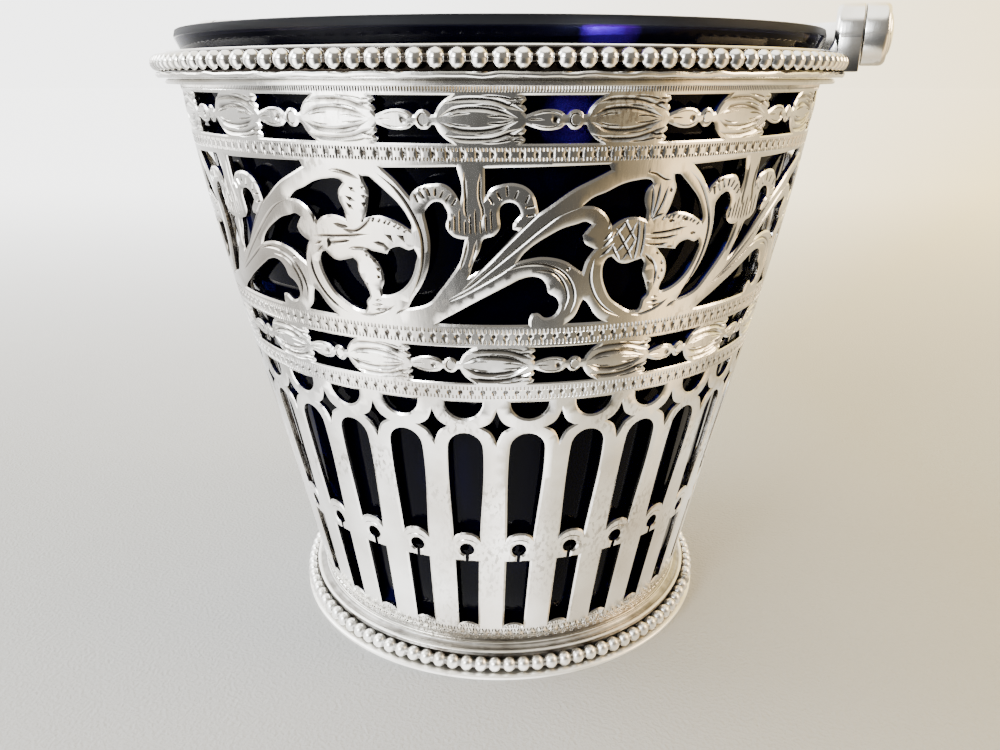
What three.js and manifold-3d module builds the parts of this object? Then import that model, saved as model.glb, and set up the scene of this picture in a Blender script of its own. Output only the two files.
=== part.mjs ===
// Silver cream pail with a cobalt glass liner and a swing bail, in millimetres, +Z up.
// The origin is the centre of the foot on the table. The bail's ears stand on the X axis.
import * as THREE from "three";
import { mergeVertices } from "three/addons/utils/BufferGeometryUtils.js";
import Module from "manifold-3d";

const wasm = await Module();
wasm.setup();

// Driving dimensions
const rimRadius = 40; // outside of the rim beads
const rimHeight = 69.15; // centre of the rim beads above the table
const footRadius = 28.05; // outside of the foot beads and their flange
const rimSetBack = 2.45; // from the rim beads' outside in to the wall's cone
const footSetBack = 3.1; // from the foot beads' outside in to the wall's cone
const wallThickness = 0.8;
const bellyDepth = 0.65; // how far the scroll band swells out of the cone
const clearance = 0.3; // between pieces that are soldered or rest on each other
const cutOverrun = 0.6;
const weldReach = 1e-4;
const facetsRound = 36;
const facetsOfEars = 20;

// Beads
const rimBeadRadius = 0.87;
const rimBeadCount = 143;
const footBeadRadius = 0.83;
const footBeadCount = 101;
const beadWaistShare = 0.66;
const beadCorners = 3;

// Rim collar
const collarRise = 1; // its top above the beads' centres
const collarFlangeSetBack = 0.45; // its flange, in from the beads' outside
const collarFlangeThickness = 0.45;
const collarDrop = 1.15; // its foot below its flange's top
const collarThickness = 0.45;
const capThickness = 0.3; // over the wall's edge

// Foot collar and base
const footFlangeThickness = 0.63;
const footBeadSeat = 0.2; // from the foot beads in to the collar's wall
const footRidgeRise = 0.27; // the ridge's centre above the beads
const footRidgeRadius = 0.2;
const footCollarRise = 0.75; // the collar's top above its ridge
const plateTop = 2.05;
const plateThickness = 0.8;

// Pierced bands, stacked up from the wall's foot and down from its top: the scrolls fill the height between
const footBorder = 3.6;
const slotHigh = 10.1;
const slotHalfWidth = 1.36;
const slotFootHalfWidth = 1.2;
const keyholeRise = 1.65; // the keyholes' centres above the slots
const keyholeRadius = 0.85;
const keySlitHalfWidth = 0.22;
const crossBar = 3.3; // between the slots and the tall slots
const tallHigh = 12.15; // the tall slots, up to where their arches spring
const tallHalfWidth = 1.86;
const tallFootHalfWidth = 1.5;
const archRise = 1.95;
const diamondRise = 2.7; // the diamonds' centres above the springs
const diamondHalfHeight = 1.95;
const diamondHalfWidth = 1.45;
const archBorder = 1.75;
const halfRoundHigh = 2;
const halfRoundHalfWidth = 1.98;
const thirdBorder = 2.15;
const lowerHuskHigh = 3.95;
const secondBorder = 2.3;
const firstBorder = 1.8;
const upperHuskHigh = 3.9;
const topBorder = 1.25;

// Repeats round the wall, and where each pattern starts, in degrees from +X
const archCount = 30;
const archStart = 6.4; // middle of a slot; the wall's flats are as wide as the arches
const scrollCount = 8;
const scrollStart = -74.2;
const scrollDrift = 2.2; // hand layout: the front scrolls are set a little wider than the back ones
const lowerHuskCount = 17;
const lowerHuskStart = -76.2;
const upperHuskCount = 18;
const upperHuskStart = -78;

// Glass liner
const linerRise = 3.25; // its top above the rim beads' centres
const linerWall = 2.2;
const linerFloor = 4;
const linerBevel = 0.85;
const linerBevelDepth = 0.3;
const linerFit = 0.35; // round the glass, inside the wall

// Ears, rivets and bail
const earRadius = 3.1;
const earLift = 0.35; // the ears' discs above the lugs' feet
const earEdge = 0.55; // rounding of the ears' rims
const lugSetBack = 2; // the lugs' inner faces, in from the rim's outside
const lugThickness = 2.5;
const lugFootSpread = 1.3;
const eyeThickness = 2.25;
const pinRadius = 1.1;
const rivetHeadRadius = 2.25;
const rivetHeadHeight = 0.75;
const bailSetBack = 0.8; // the middle of the crown, in from the rim's outside
const bailThickness = 1.5;
const bailEndWidth = 3.2;
const bailCrownWidth = 4.6;
const bailSteps = 20;

// Heights above the table and radii that follow from those sizes
const beadLowShare = Math.sin(Math.PI / beadCorners); // how far a bead's corners reach below its centre
const beadFootHeight = footFlangeThickness + clearance + footBeadRadius * beadLowShare;
const footWallRadius = footRadius - 2 * footBeadRadius - footBeadSeat;
const footRidgeHeight = beadFootHeight + footBeadRadius + footRidgeRise;
const footCollarTop = footRidgeHeight + footCollarRise;
const collarTop = rimHeight + collarRise;
const collarFlangeRadius = rimRadius - collarFlangeSetBack;
const collarFlangeTop = rimHeight - rimBeadRadius * beadLowShare - clearance;
const collarFoot = collarFlangeTop - collarDrop;
const wallFoot = plateTop + clearance;
const wallTop = collarFlangeTop - capThickness - clearance;
const slotFoot = wallFoot + footBorder;
const slotTop = slotFoot + slotHigh;
const keyholeHeight = slotTop + keyholeRise;
const archFoot = slotTop + crossBar;
const archSpring = archFoot + tallHigh;
const diamondHeight = archSpring + diamondRise;
const halfRoundFoot = archSpring + archRise + archBorder;
const lowerHusksFoot = halfRoundFoot + halfRoundHigh + thirdBorder;
const lowerHusksTop = lowerHusksFoot + lowerHuskHigh;
const scrollFoot = lowerHusksTop + secondBorder;
const upperHusksTop = wallTop - topBorder;
const upperHusksFoot = upperHusksTop - upperHuskHigh;
const scrollTop = upperHusksFoot - firstBorder;
const linerTop = rimHeight + linerRise;
const pivotHeight = collarFlangeTop + clearance + earLift + earRadius;
const lugInner = rimRadius - lugSetBack;
const bailReach = rimRadius - bailSetBack;

const silver = new THREE.MeshStandardMaterial({ color: 0xd8d5cc, metalness: 1, roughness: 0.24 });
const brightSilver = new THREE.MeshStandardMaterial({ color: 0xe4e1d8, metalness: 1, roughness: 0.16 });
const cobalt = new THREE.MeshStandardMaterial({ color: 0x0a0f52, metalness: 0, roughness: 0.06 });

// The scroll repeat, drawn on squares: 46.7 across from one palmette to the next, 15 high.
const scrollGridShares = [46.7, 15];
const scrollOpeningShares = [
  [[-12.8, 14.8], [-8.9, 12.2], [-7, 13.2], [-2.6, 13], [-1.8, 14.8]],
  [[-6.2, 11.4], [-4.7, 11.8], [-3.7, 9.4], [-0.9, 8.5], [-1.8, 6.4], [-5, 3.7], [-11, 1.5], [-7.2, 5.4]],
  [[2.2, 14.8], [20, 14.8], [10, 10.8], [9.2, 12.5], [6.3, 13.5], [2.2, 12.2]],
  [[4.4, 11.4], [5.8, 11.8], [7.4, 11], [6.3, 9.6], [-0.4, 5], [1.9, 8.5], [4.2, 9.2]],
  [[17.1, 10], [16.9, 8.3], [18.6, 7.2], [17.3, 5.2], [14.6, 6.3], [7.1, 6.4], [10.5, 8.4]],
  [[16.5, 11.4], [21, 9.5], [26.8, 9.9], [27, 13.4], [22.1, 13.2]],
  [[30.8, 13.8], [35.2, 12.2], [37.6, 9.4], [30.2, 10.1], [31.3, 12.4]],
  [[37.7, 7.5], [36.6, 4.3], [32, 2.7], [32, 4.8], [29.8, 7], [33.2, 6.8]],
  [[20.7, 5.9], [21.9, 6.6], [27.3, 6.2], [28.4, 3.9], [27.9, 0.9], [24.2, 1.7], [21.3, 3.7]],
  [[-6, 0.2], [7.5, 4.7], [11.7, 4.1], [13.9, 2.4], [12.8, 0.9], [9.1, 0.2]],
  [[15.6, 0.2], [17.9, 2.5], [22, 0.2]],
];

// One gap over a bud and bead of the husk bands: shares of the repeat across and of half the band up.
const huskGapShares = [[0.56, 1], [0.62, 0.38], [1, 0.38], [1.08, 1]];

// The arcade's concave diamond and its openings' arches, as shares of their half widths and heights.
const diamondShares = [[0, 1], [0.36, 0.32], [1, 0], [0.36, -0.32], [0, -1], [-0.36, -0.32], [-1, 0], [-0.36, 0.32]];
const archShares = [[-1, 0], [-0.54, 0.9], [0.54, 0.9], [1, 0]];

const turn = 2 * Math.PI;
const radians = Math.PI / 180;

function coneRadius(height) {
  const share = (height - beadFootHeight) / (rimHeight - beadFootHeight);
  const atFoot = footRadius - footSetBack;
  return atFoot + (rimRadius - rimSetBack - atFoot) * share;
}

function wallRadius(height) {
  const share = Math.min(1, Math.max(0, (height - wallFoot) / (wallTop - wallFoot)));
  return coneRadius(height) + bellyDepth * Math.sin(Math.PI * share * share);
}

function linerRadius(height) {
  return coneRadius(height) - wallThickness - linerFit;
}

// Solids
function signedVolume(points, index) {
  const [a, b, c] = [new THREE.Vector3(), new THREE.Vector3(), new THREE.Vector3()];
  let volume = 0;
  for (let i = 0; i < index.length; i += 3) {
    a.fromArray(points, 3 * index[i]);
    b.fromArray(points, 3 * index[i + 1]);
    c.fromArray(points, 3 * index[i + 2]);
    volume += a.dot(b.cross(c)) / 6;
  }
  return volume;
}

function solid(geometry) {
  const copy = geometry.clone();
  copy.deleteAttribute("normal");
  copy.deleteAttribute("uv");
  const merged = mergeVertices(copy, weldReach);
  const points = merged.attributes.position.array;
  const kept = [];
  for (let i = 0; i < merged.index.count; i += 3) {
    const [a, b, c] = merged.index.array.slice(i, i + 3);
    if (a !== b && b !== c && c !== a) {
      kept.push(a, b, c);
    }
  }
  if (signedVolume(points, kept) < 0) {
    kept.reverse();
  }
  return new wasm.Manifold(
    new wasm.Mesh({ numProp: 3, vertProperties: new Float32Array(points), triVerts: new Uint32Array(kept) }),
  );
}

function geometryOf(manifold) {
  const mesh = manifold.getMesh();
  const geometry = new THREE.BufferGeometry();
  geometry.setAttribute("position", new THREE.BufferAttribute(new Float32Array(mesh.vertProperties), 3));
  geometry.setIndex(new THREE.BufferAttribute(new Uint32Array(mesh.triVerts), 1));
  geometry.computeVertexNormals();
  return geometry;
}

function indexed(points, triangles) {
  const geometry = new THREE.BufferGeometry();
  geometry.setAttribute("position", new THREE.Float32BufferAttribute(points.flat(), 3));
  geometry.setIndex(triangles);
  return geometry;
}

// A ring or cup turned about Z from a profile of [radius, height] points.
function turned(profile, facets = facetsRound) {
  const points = profile.map(([radius, height]) => new THREE.Vector2(radius, height));
  if (profile[0][0] > 0) {
    points.push(points[0].clone());
  }
  return new THREE.LatheGeometry(points, facets).rotateX(Math.PI / 2);
}

// The same about the hinge line: [distance along X, radius] points, from axis to axis.
function turnedOnHinge(profile, facets) {
  const points = profile.map(([along, radius]) => new THREE.Vector2(radius, along));
  return new THREE.LatheGeometry(points, facets).rotateZ(-Math.PI / 2).translate(0, 0, pivotHeight);
}

function arc(centre, radii, from, to, steps) {
  return Array.from({ length: steps + 1 }, (_, i) => {
    const angle = from + ((to - from) * i) / steps;
    return [centre[0] + radii[0] * Math.cos(angle), centre[1] + radii[1] * Math.sin(angle)];
  });
}

// Pierced wall
function ringPoint(radius, angle, height) {
  return [radius * Math.cos(angle), radius * Math.sin(angle), height];
}

function counterClockwise(outline) {
  let area = 0;
  outline.forEach(([x, y], i) => {
    const [nextX, nextY] = outline[(i + 1) % outline.length];
    area += x * nextY - nextX * y;
  });
  return area > 0 ? outline : [...outline].reverse();
}

// A cutter straight through the wall at its middle, from an outline of [angle, height] points.
function wallCutter(points2d) {
  const outline = counterClockwise(points2d);
  const count = outline.length;
  const angles = outline.map(([angle]) => angle);
  const facing = (Math.min(...angles) + Math.max(...angles)) / 2;
  const flat = outline.map(([angle, height]) => {
    const [depth, across] = ringPoint(wallRadius(height) - wallThickness / 2, angle - facing, height);
    return { depth, point: new THREE.Vector2(across, height) };
  });
  const depths = flat.map(({ depth }) => depth);
  const reach = wallThickness / 2 + cutOverrun;
  const sides = [Math.min(...depths) - reach, Math.max(...depths) + reach];
  const points = sides.flatMap((depth) => flat.map(({ point }) => [depth, point.x, point.y]));
  const triangles = [];
  for (const [a, b, c] of THREE.ShapeUtils.triangulateShape(flat.map(({ point }) => point), [])) {
    triangles.push(a, c, b, a + count, b + count, c + count);
  }
  for (let i = 0; i < count; i += 1) {
    const next = (i + 1) % count;
    triangles.push(i, next, next + count, i, next + count, i + count);
  }
  return solid(indexed(points, triangles)).rotate([0, 0, facing / radians]);
}

function arcadeCutters() {
  const cutters = [];
  const across = (middle, width, height) => middle + width / wallRadius(height);
  for (let i = 0; i < archCount; i += 1) {
    const middle = archStart * radians + (turn * i) / archCount;
    const pier = middle + turn / archCount / 2;
    const row = (width, foot, rise) =>
      archShares.map(([x, y]) => [across(middle, x * width, foot), foot + y * rise]);
    cutters.push(row(halfRoundHalfWidth, halfRoundFoot + halfRoundHigh, -halfRoundHigh));
    cutters.push(
      diamondShares.map(([x, y]) => [
        across(pier, x * diamondHalfWidth, diamondHeight),
        diamondHeight + y * diamondHalfHeight,
      ]),
    );
    cutters.push([
      ...row(tallHalfWidth, archSpring, archRise),
      [across(middle, tallFootHalfWidth, archFoot), archFoot],
      [across(middle, -tallFootHalfWidth, archFoot), archFoot],
    ]);
    const slit = (side, height) => [across(middle, side * keySlitHalfWidth, height), height];
    const key = arc([middle, keyholeHeight], [keyholeRadius / wallRadius(keyholeHeight), keyholeRadius],
      0, Math.PI, 2);
    cutters.push([
      [across(middle, slotHalfWidth, slotTop), slotTop],
      slit(1, slotTop),
      ...key,
      slit(-1, slotTop),
      [across(middle, -slotHalfWidth, slotTop), slotTop],
      [across(middle, -slotFootHalfWidth, slotFoot), slotFoot],
      [across(middle, slotFootHalfWidth, slotFoot), slotFoot],
    ]);
  }
  return cutters;
}

function huskCutters(start, count, foot, top) {
  const cutters = [];
  const middle = (foot + top) / 2;
  const reach = (top - foot) / 2;
  for (let i = 0; i < count; i += 1) {
    for (const side of [-1, 1]) {
      cutters.push(
        huskGapShares.map(([x, y]) => [start * radians + (turn * (i + x)) / count, middle + side * y * reach]),
      );
    }
  }
  return cutters;
}

function drifted(angle) {
  return angle + scrollDrift * radians * Math.sin(angle - scrollStart * radians);
}

function scrollCutters() {
  const cutters = [];
  const [gridWide, gridHigh] = scrollGridShares;
  for (let i = 0; i < scrollCount; i += 1) {
    for (const opening of scrollOpeningShares) {
      cutters.push(
        opening.map(([x, y]) => [
          drifted(scrollStart * radians + (turn * (i + x / gridWide)) / scrollCount),
          scrollFoot + (y / gridHigh) * (scrollTop - scrollFoot),
        ]),
      );
    }
  }
  return cutters;
}

function piercedWall() {
  const heights = [wallFoot, (lowerHusksTop + scrollFoot) / 2, wallTop];
  const outer = heights.map((height) => [wallRadius(height), height]);
  const inner = heights.map((height) => [wallRadius(height) - wallThickness, height]).reverse();
  const shell = solid(turned([...outer, ...inner], archCount)).rotate([0, 0, archStart + 180 / archCount]);
  const cutters = [
    ...arcadeCutters(),
    ...huskCutters(lowerHuskStart, lowerHuskCount, lowerHusksFoot, lowerHusksTop),
    ...scrollCutters(),
    ...huskCutters(upperHuskStart, upperHuskCount, upperHusksFoot, upperHusksTop),
  ].map(wallCutter);
  return shell.subtract(wasm.Manifold.union(cutters));
}

// Beads: a wire that narrows between beads, from one angle to another or all the way round
function beadWire(centreRadius, height, beadRadius, count, from, beads) {
  const closed = beads === count;
  const sections = closed ? 2 * beads : 2 * beads + 1;
  const points = [];
  const triangles = [];
  for (let i = 0; i < sections; i += 1) {
    const angle = from + (turn * i) / (2 * count);
    const reach = beadRadius * (i % 2 ? 1 : beadWaistShare);
    for (let k = 0; k < beadCorners; k += 1) {
      const around = (turn * k) / beadCorners;
      points.push(ringPoint(centreRadius + reach * Math.cos(around), angle, height + reach * Math.sin(around)));
    }
  }
  const at = (i, k) => (i % sections) * beadCorners + (k % beadCorners);
  for (let i = 0; i < (closed ? sections : sections - 1); i += 1) {
    for (let k = 0; k < beadCorners; k += 1) {
      triangles.push(at(i, k), at(i + 1, k), at(i + 1, k + 1), at(i, k), at(i + 1, k + 1), at(i, k + 1));
    }
  }
  if (!closed) {
    const last = sections - 1;
    triangles.push(at(0, 0), at(0, 1), at(0, 2), at(last, 0), at(last, 2), at(last, 1));
  }
  return solid(indexed(points, triangles));
}

function rimBeadLength(side) {
  const centre = rimRadius - rimBeadRadius;
  const free = 2 * Math.asin((earRadius + clearance) / centre);
  const beads = Math.floor((rimBeadCount * (Math.PI - free)) / turn);
  const from = side * Math.PI / 2 - (Math.PI * beads) / rimBeadCount;
  return beadWire(centre, rimHeight, rimBeadRadius, rimBeadCount, from, beads);
}

// Rim collar: a ring that caps the wall, with the bead wire's seat and a hollow below it
function rimCollar() {
  const seat = rimRadius - 2 * rimBeadRadius - clearance;
  const skirt = wallRadius(collarFoot) + clearance;
  const flangeFoot = collarFlangeTop - collarFlangeThickness;
  const hollow = arc(
    [collarFlangeRadius, collarFoot],
    [collarFlangeRadius - skirt - collarThickness, flangeFoot - collarFoot],
    Math.PI,
    Math.PI / 2,
    2,
  );
  return turned([
    [skirt, collarFoot],
    ...hollow,
    [collarFlangeRadius, collarFlangeTop],
    [seat, collarFlangeTop],
    [seat, collarTop],
    [linerRadius(collarTop) + linerFit, collarTop],
    [linerRadius(collarTop) + linerFit, wallTop + clearance],
    [wallRadius(wallTop) + clearance, wallTop + clearance],
  ]);
}

// Foot collar: a flange on the table, a wall behind the beads and a fine ridge above them
function footCollar() {
  const inside = wallRadius(wallFoot) + clearance;
  const lip = wallRadius(footCollarTop) + clearance;
  const ridge = arc(
    [footWallRadius + footRidgeRadius / 2, footRidgeHeight],
    [footRidgeRadius, footRidgeRadius],
    -Math.PI / 2,
    Math.PI / 2,
    2,
  );
  return turned([
    [inside, 0],
    [footRadius, 0],
    [footRadius, footFlangeThickness],
    [footWallRadius, footFlangeThickness],
    ...ridge,
    [lip + footRidgeRadius, footCollarTop],
    [lip, footCollarTop],
    [inside, wallFoot],
  ]);
}

function basePlate() {
  const edge = wallRadius(wallFoot);
  return turned([
    [0, plateTop - plateThickness],
    [edge, plateTop - plateThickness],
    [edge, plateTop],
    [0, plateTop],
  ]);
}

function glassLiner() {
  const foot = plateTop + clearance;
  const inside = (height) => linerRadius(height) - linerWall;
  return turned([
    [0, foot],
    [linerRadius(foot) - linerBevelDepth, foot],
    [linerRadius(foot + linerBevelDepth), foot + linerBevelDepth],
    [linerRadius(linerTop - linerBevel), linerTop - linerBevel],
    [linerRadius(linerTop - linerBevel) - linerBevelDepth, linerTop],
    [inside(linerTop), linerTop],
    [inside(foot + linerFloor), foot + linerFloor],
    [0, foot + linerFloor],
  ]);
}

// Ears
function earDisc(from, to, roundFrom) {
  const rounded = roundFrom
    ? [[from, earRadius - earEdge], [from + earEdge, earRadius], [to, earRadius]]
    : [[from, earRadius], [to - earEdge, earRadius], [to, earRadius - earEdge]];
  return solid(turnedOnHinge([[from, 0], ...rounded, [to, 0]], facetsOfEars));
}

function pinHole(from, to) {
  const radius = pinRadius + clearance;
  return solid(turnedOnHinge([[from, 0], [from, radius], [to, radius], [to, 0]], facetsOfEars / 2));
}

// A block across the ear from an outline of [x, z] points.
function earBlock(outline) {
  const shape = new THREE.Shape(outline.map(([x, z]) => new THREE.Vector2(x, z)));
  const block = new THREE.ExtrudeGeometry(shape, { depth: 2 * earRadius, bevelEnabled: false });
  return solid(block.rotateX(Math.PI / 2).translate(0, earRadius, 0));
}

function lug() {
  const outer = lugInner + lugThickness;
  const seat = rimRadius - 2 * rimBeadRadius;
  const foot = collarFlangeTop + clearance;
  const onCollar = collarTop + clearance;
  const stem = earBlock([[seat, foot], [outer, foot], [outer, pivotHeight], [seat, pivotHeight]]);
  const spread = earBlock([
    [lugInner - lugFootSpread + clearance, onCollar],
    [outer, onCollar],
    [outer, pivotHeight],
    [lugInner, pivotHeight],
  ]);
  return earDisc(lugInner, outer, true)
    .add(stem)
    .add(spread)
    .subtract(pinHole(lugInner - lugFootSpread, outer + cutOverrun));
}

function rivet() {
  const shankFrom = lugInner + clearance;
  const eyeOuter = lugInner + lugThickness + clearance + eyeThickness;
  const seat = eyeOuter + clearance / 2;
  const dome = arc([seat, 0], [rivetHeadHeight, rivetHeadRadius], Math.PI / 2, 0, 3);
  dome[dome.length - 1][1] = 0;
  return turnedOnHinge([[shankFrom, 0], [shankFrom, pinRadius], [seat, pinRadius], ...dome], facetsOfEars / 2);
}

function opposite(geometry) {
  return geometry.rotateZ(Math.PI);
}

// Bail: a strap on a flat-sided arch, ending in a round eye at each ear
function bailTilt() {
  const drop = rimHeight + rimBeadRadius + clearance - pivotHeight;
  const half = bailCrownWidth / 2;
  return Math.asin(drop / Math.hypot(bailReach, half)) + Math.atan2(half, bailReach);
}

function bailStrap() {
  const reach = lugInner + lugThickness + clearance + eyeThickness / 2;
  const half = bailThickness / 2;
  const sectionShares = [[-1, -1], [-1, 1], [0.4, 1], [1, 0.55], [1, -0.55], [0.4, -1]];
  const corners = sectionShares.length;
  const points = [];
  const triangles = [];
  for (let i = 0; i <= bailSteps; i += 1) {
    const angle = (Math.PI * i) / bailSteps;
    const wide = (bailEndWidth + (bailCrownWidth - bailEndWidth) * Math.sin(angle)) / 2;
    const normal = new THREE.Vector2(Math.cos(angle) / reach, Math.sin(angle) / bailReach).normalize();
    for (const [out, across] of sectionShares) {
      points.push([
        reach * Math.cos(angle) + out * half * normal.x,
        bailReach * Math.sin(angle) + out * half * normal.y,
        across * wide,
      ]);
    }
  }
  for (let i = 0; i < bailSteps; i += 1) {
    for (let k = 0; k < corners; k += 1) {
      const next = (k + 1) % corners;
      const [a, b] = [i * corners + k, i * corners + next];
      triangles.push(a, b, b + corners, a, b + corners, a + corners);
    }
  }
  const last = bailSteps * corners;
  for (let k = 1; k < corners - 1; k += 1) {
    triangles.push(0, k + 1, k, last, last + k, last + k + 1);
  }
  return indexed(points, triangles).translate(0, 0, pivotHeight);
}

function bail() {
  const from = lugInner + lugThickness + clearance;
  const to = from + eyeThickness;
  const eye = earDisc(from, to, false);
  const hole = pinHole(from - cutOverrun, to + cutOverrun);
  const turnAbout = (manifold) => solid(opposite(geometryOf(manifold)));
  const body = solid(bailStrap()).add(eye).add(turnAbout(eye)).subtract(hole).subtract(turnAbout(hole));
  return geometryOf(body)
    .translate(0, 0, -pivotHeight)
    .rotateX(bailTilt())
    .translate(0, 0, pivotHeight);
}

const pail = new THREE.Group();

function addPiece(name, geometry, material) {
  const mesh = new THREE.Mesh(geometry, material);
  mesh.name = name;
  pail.add(mesh);
}

addPiece("pierced_body", geometryOf(piercedWall()), silver);
addPiece("rim_collar", geometryOf(solid(rimCollar())), brightSilver);
addPiece("rim_bead_wire_front", geometryOf(rimBeadLength(-1)), brightSilver);
addPiece("rim_bead_wire_back", geometryOf(rimBeadLength(1)), brightSilver);
addPiece("foot_collar", geometryOf(solid(footCollar())), brightSilver);
addPiece(
  "foot_bead_wire",
  geometryOf(beadWire(footRadius - footBeadRadius, beadFootHeight, footBeadRadius, footBeadCount, 0, footBeadCount)),
  brightSilver,
);
addPiece("base_plate", geometryOf(solid(basePlate())), silver);
addPiece("glass_liner", geometryOf(solid(glassLiner())), cobalt);
addPiece("lug_right", geometryOf(lug()), silver);
addPiece("lug_left", opposite(geometryOf(lug())), silver);
addPiece("rivet_right", geometryOf(solid(rivet())), brightSilver);
addPiece("rivet_left", opposite(geometryOf(solid(rivet()))), brightSilver);
addPiece("bail_handle", bail(), silver);

export default pail;
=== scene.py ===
import math
import bpy
import bmesh
import numpy as np
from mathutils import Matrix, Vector
from mathutils.geometry import delaunay_2d_cdt


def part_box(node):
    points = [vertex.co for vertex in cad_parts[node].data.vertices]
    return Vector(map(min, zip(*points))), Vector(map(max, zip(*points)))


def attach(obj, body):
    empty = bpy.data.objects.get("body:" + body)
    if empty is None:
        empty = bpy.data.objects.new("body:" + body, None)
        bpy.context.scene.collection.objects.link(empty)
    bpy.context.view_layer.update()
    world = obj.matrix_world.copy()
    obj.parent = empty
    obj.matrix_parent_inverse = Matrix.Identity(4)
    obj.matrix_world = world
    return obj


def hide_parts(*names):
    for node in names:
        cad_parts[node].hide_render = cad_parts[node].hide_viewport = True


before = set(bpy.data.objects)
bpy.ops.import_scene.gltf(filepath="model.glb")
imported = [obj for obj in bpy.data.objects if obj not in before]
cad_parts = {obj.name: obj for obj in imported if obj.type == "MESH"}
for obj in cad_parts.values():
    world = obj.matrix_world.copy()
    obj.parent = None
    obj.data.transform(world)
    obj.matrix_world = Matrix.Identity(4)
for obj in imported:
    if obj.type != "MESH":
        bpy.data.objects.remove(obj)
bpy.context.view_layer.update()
mm = 0.001
turn = 2 * math.pi
print("frame loaded:", len(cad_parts), "nodes")

# The pail's wall, in mm: a cone between the two bead rings, with a slight belly in the scrolls.
wall = dict(
    footRadius=24.95,
    topRadius=37.55,
    footBeads=1.65,
    rimBeads=69.15,
    belly=0.65,
    thickness=0.6,
)
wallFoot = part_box("pierced_body")[0].z / mm
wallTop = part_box("pierced_body")[1].z / mm


def coneRadius(height):
    share = (height - wall["footBeads"]) / (wall["rimBeads"] - wall["footBeads"])
    return wall["footRadius"] + (wall["topRadius"] - wall["footRadius"]) * share


def wallRadius(height):
    share = min(1, max(0, (height - wallFoot) / (wallTop - wallFoot)))
    return coneRadius(height) + wall["belly"] * math.sin(math.pi * share * share)


# Drawing tools: flat outlines in mm, x round the wall and y up it
def arcPoints(centre, radii, start, end, steps):
    angles = [math.radians(start + (end - start) * i / steps) for i in range(steps + 1)]
    return [(centre[0] + radii[0] * math.cos(a), centre[1] + radii[1] * math.sin(a)) for a in angles]


def smoothed(points, closed, step=0.25, cornerDegrees=52):
    # A curve through given points that stays sharp at their corners.
    points = np.array(points, float)
    count = len(points)
    spans = count if closed else count - 1
    ahead = np.roll(points, -1, 0) - points
    length = np.maximum(np.hypot(*ahead.T), 1e-6)
    unit = ahead / length[:, None]

    def tangent(i, leaving):
        before, after = unit[(i - 1) % count], unit[i % count]
        isEnd = not closed and i in (0, count - 1)
        turned = math.degrees(math.acos(max(-1, min(1, float(before @ after)))))
        if isEnd or turned > cornerDegrees:
            return after if leaving else before
        mean = before + after
        return mean / np.hypot(*mean)

    curve = []
    for i in range(spans):
        start, end = points[i], points[(i + 1) % count]
        pull, push = tangent(i, True) * length[i], tangent((i + 1) % count, False) * length[i]
        steps = max(1, round(length[i] / step))
        for k in range(steps):
            t = k / steps
            curve.append(
                (2 * t**3 - 3 * t**2 + 1) * start
                + (t**3 - 2 * t**2 + t) * pull
                + (3 * t**2 - 2 * t**3) * end
                + (t**3 - t**2) * push
            )
    if not closed:
        curve.append(points[-1])
    return np.array(curve)


def counterClockwise(loop):
    x, y = loop.T
    area = np.sum(x * np.roll(y, -1) - np.roll(x, -1) * y)
    return loop if area > 0 else loop[::-1]


def sideways(line, closed):
    # Unit normals to the left of a line, lengthened a little at its corners.
    ahead = np.roll(line, -1, 0) - line
    if not closed:
        ahead[-1] = ahead[-2]
    ahead /= np.maximum(np.hypot(*ahead.T), 1e-9)[:, None]
    behind = np.roll(ahead, 1, 0)
    if not closed:
        behind[0] = ahead[0]
    mean = ahead + behind
    mean /= np.maximum(np.hypot(*mean.T), 1e-9)[:, None]
    miter = 1 / np.clip((mean * ahead).sum(1), 0.6, 1)
    return np.stack([-mean[:, 1], mean[:, 0]], 1) * miter[:, None]


def nearest(points, line, closed):
    # Distance from each point to a line, and how far along the line that is, from 0 to 1.
    a = line if closed else line[:-1]
    b = np.roll(line, -1, 0) if closed else line[1:]
    d = b - a
    size = np.maximum((d * d).sum(1), 1e-12)
    t = np.clip(((points[:, None] - a) * d).sum(2) / size, 0, 1)
    gap = np.hypot(*np.moveaxis(points[:, None] - (a + t[..., None] * d), 2, 0))
    best = gap.argmin(1)
    rows = np.arange(len(points))
    return gap[rows, best], (best + t[rows, best]) / len(a)


def inside(points, loop):
    x, y = points[:, :1], points[:, 1:]
    ax, ay = loop.T
    bx, by = np.roll(ax, -1), np.roll(ay, -1)
    crosses = (ay > y) != (by > y)
    reach = ax + (y - ay) / np.where(by == ay, 1e-12, by - ay) * (bx - ax)
    return ((crosses & (x < reach)).sum(1) % 2).astype(bool)


# How the wall was cut and engraved, in mm: bevels round its openings, and strokes that taper at both ends
tooling = dict(
    bevelWide=0.24, bevelDeep=0.14, spacing=1.0, edgeStep=0.6, taper=5, finest=0.02, mostEdges=4000,
)


def fullness(along):
    # How much of its width and depth a stroke has, along its length from 0 to 1.
    return np.clip(np.minimum(along, 1 - along) * tooling["taper"], tooling["finest"], 1)


def openEdges(faces):
    # Edges with a face on one side only: they run round the openings and the sheet.
    seen = {}
    for a, b, c in faces.tolist():
        for edge in ((a, b), (b, c), (c, a)):
            if seen.pop(edge[::-1], None) is None:
                seen[edge] = True
    return list(seen)


def meshFrom(name, points, faces, dirtAndShade=None):
    # A mesh from places in mm, and how dark each of them is painted, by grime and by painted shade.
    mesh = bpy.data.meshes.new(name)
    mesh.from_pydata((np.array(points) * mm).tolist(), [], faces)
    if dirtAndShade is not None:
        mesh.attributes.new("grimeAndShade", "FLOAT", "POINT").data.foreach_set("value", dirtAndShade)
    mesh.update()
    return mesh


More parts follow.
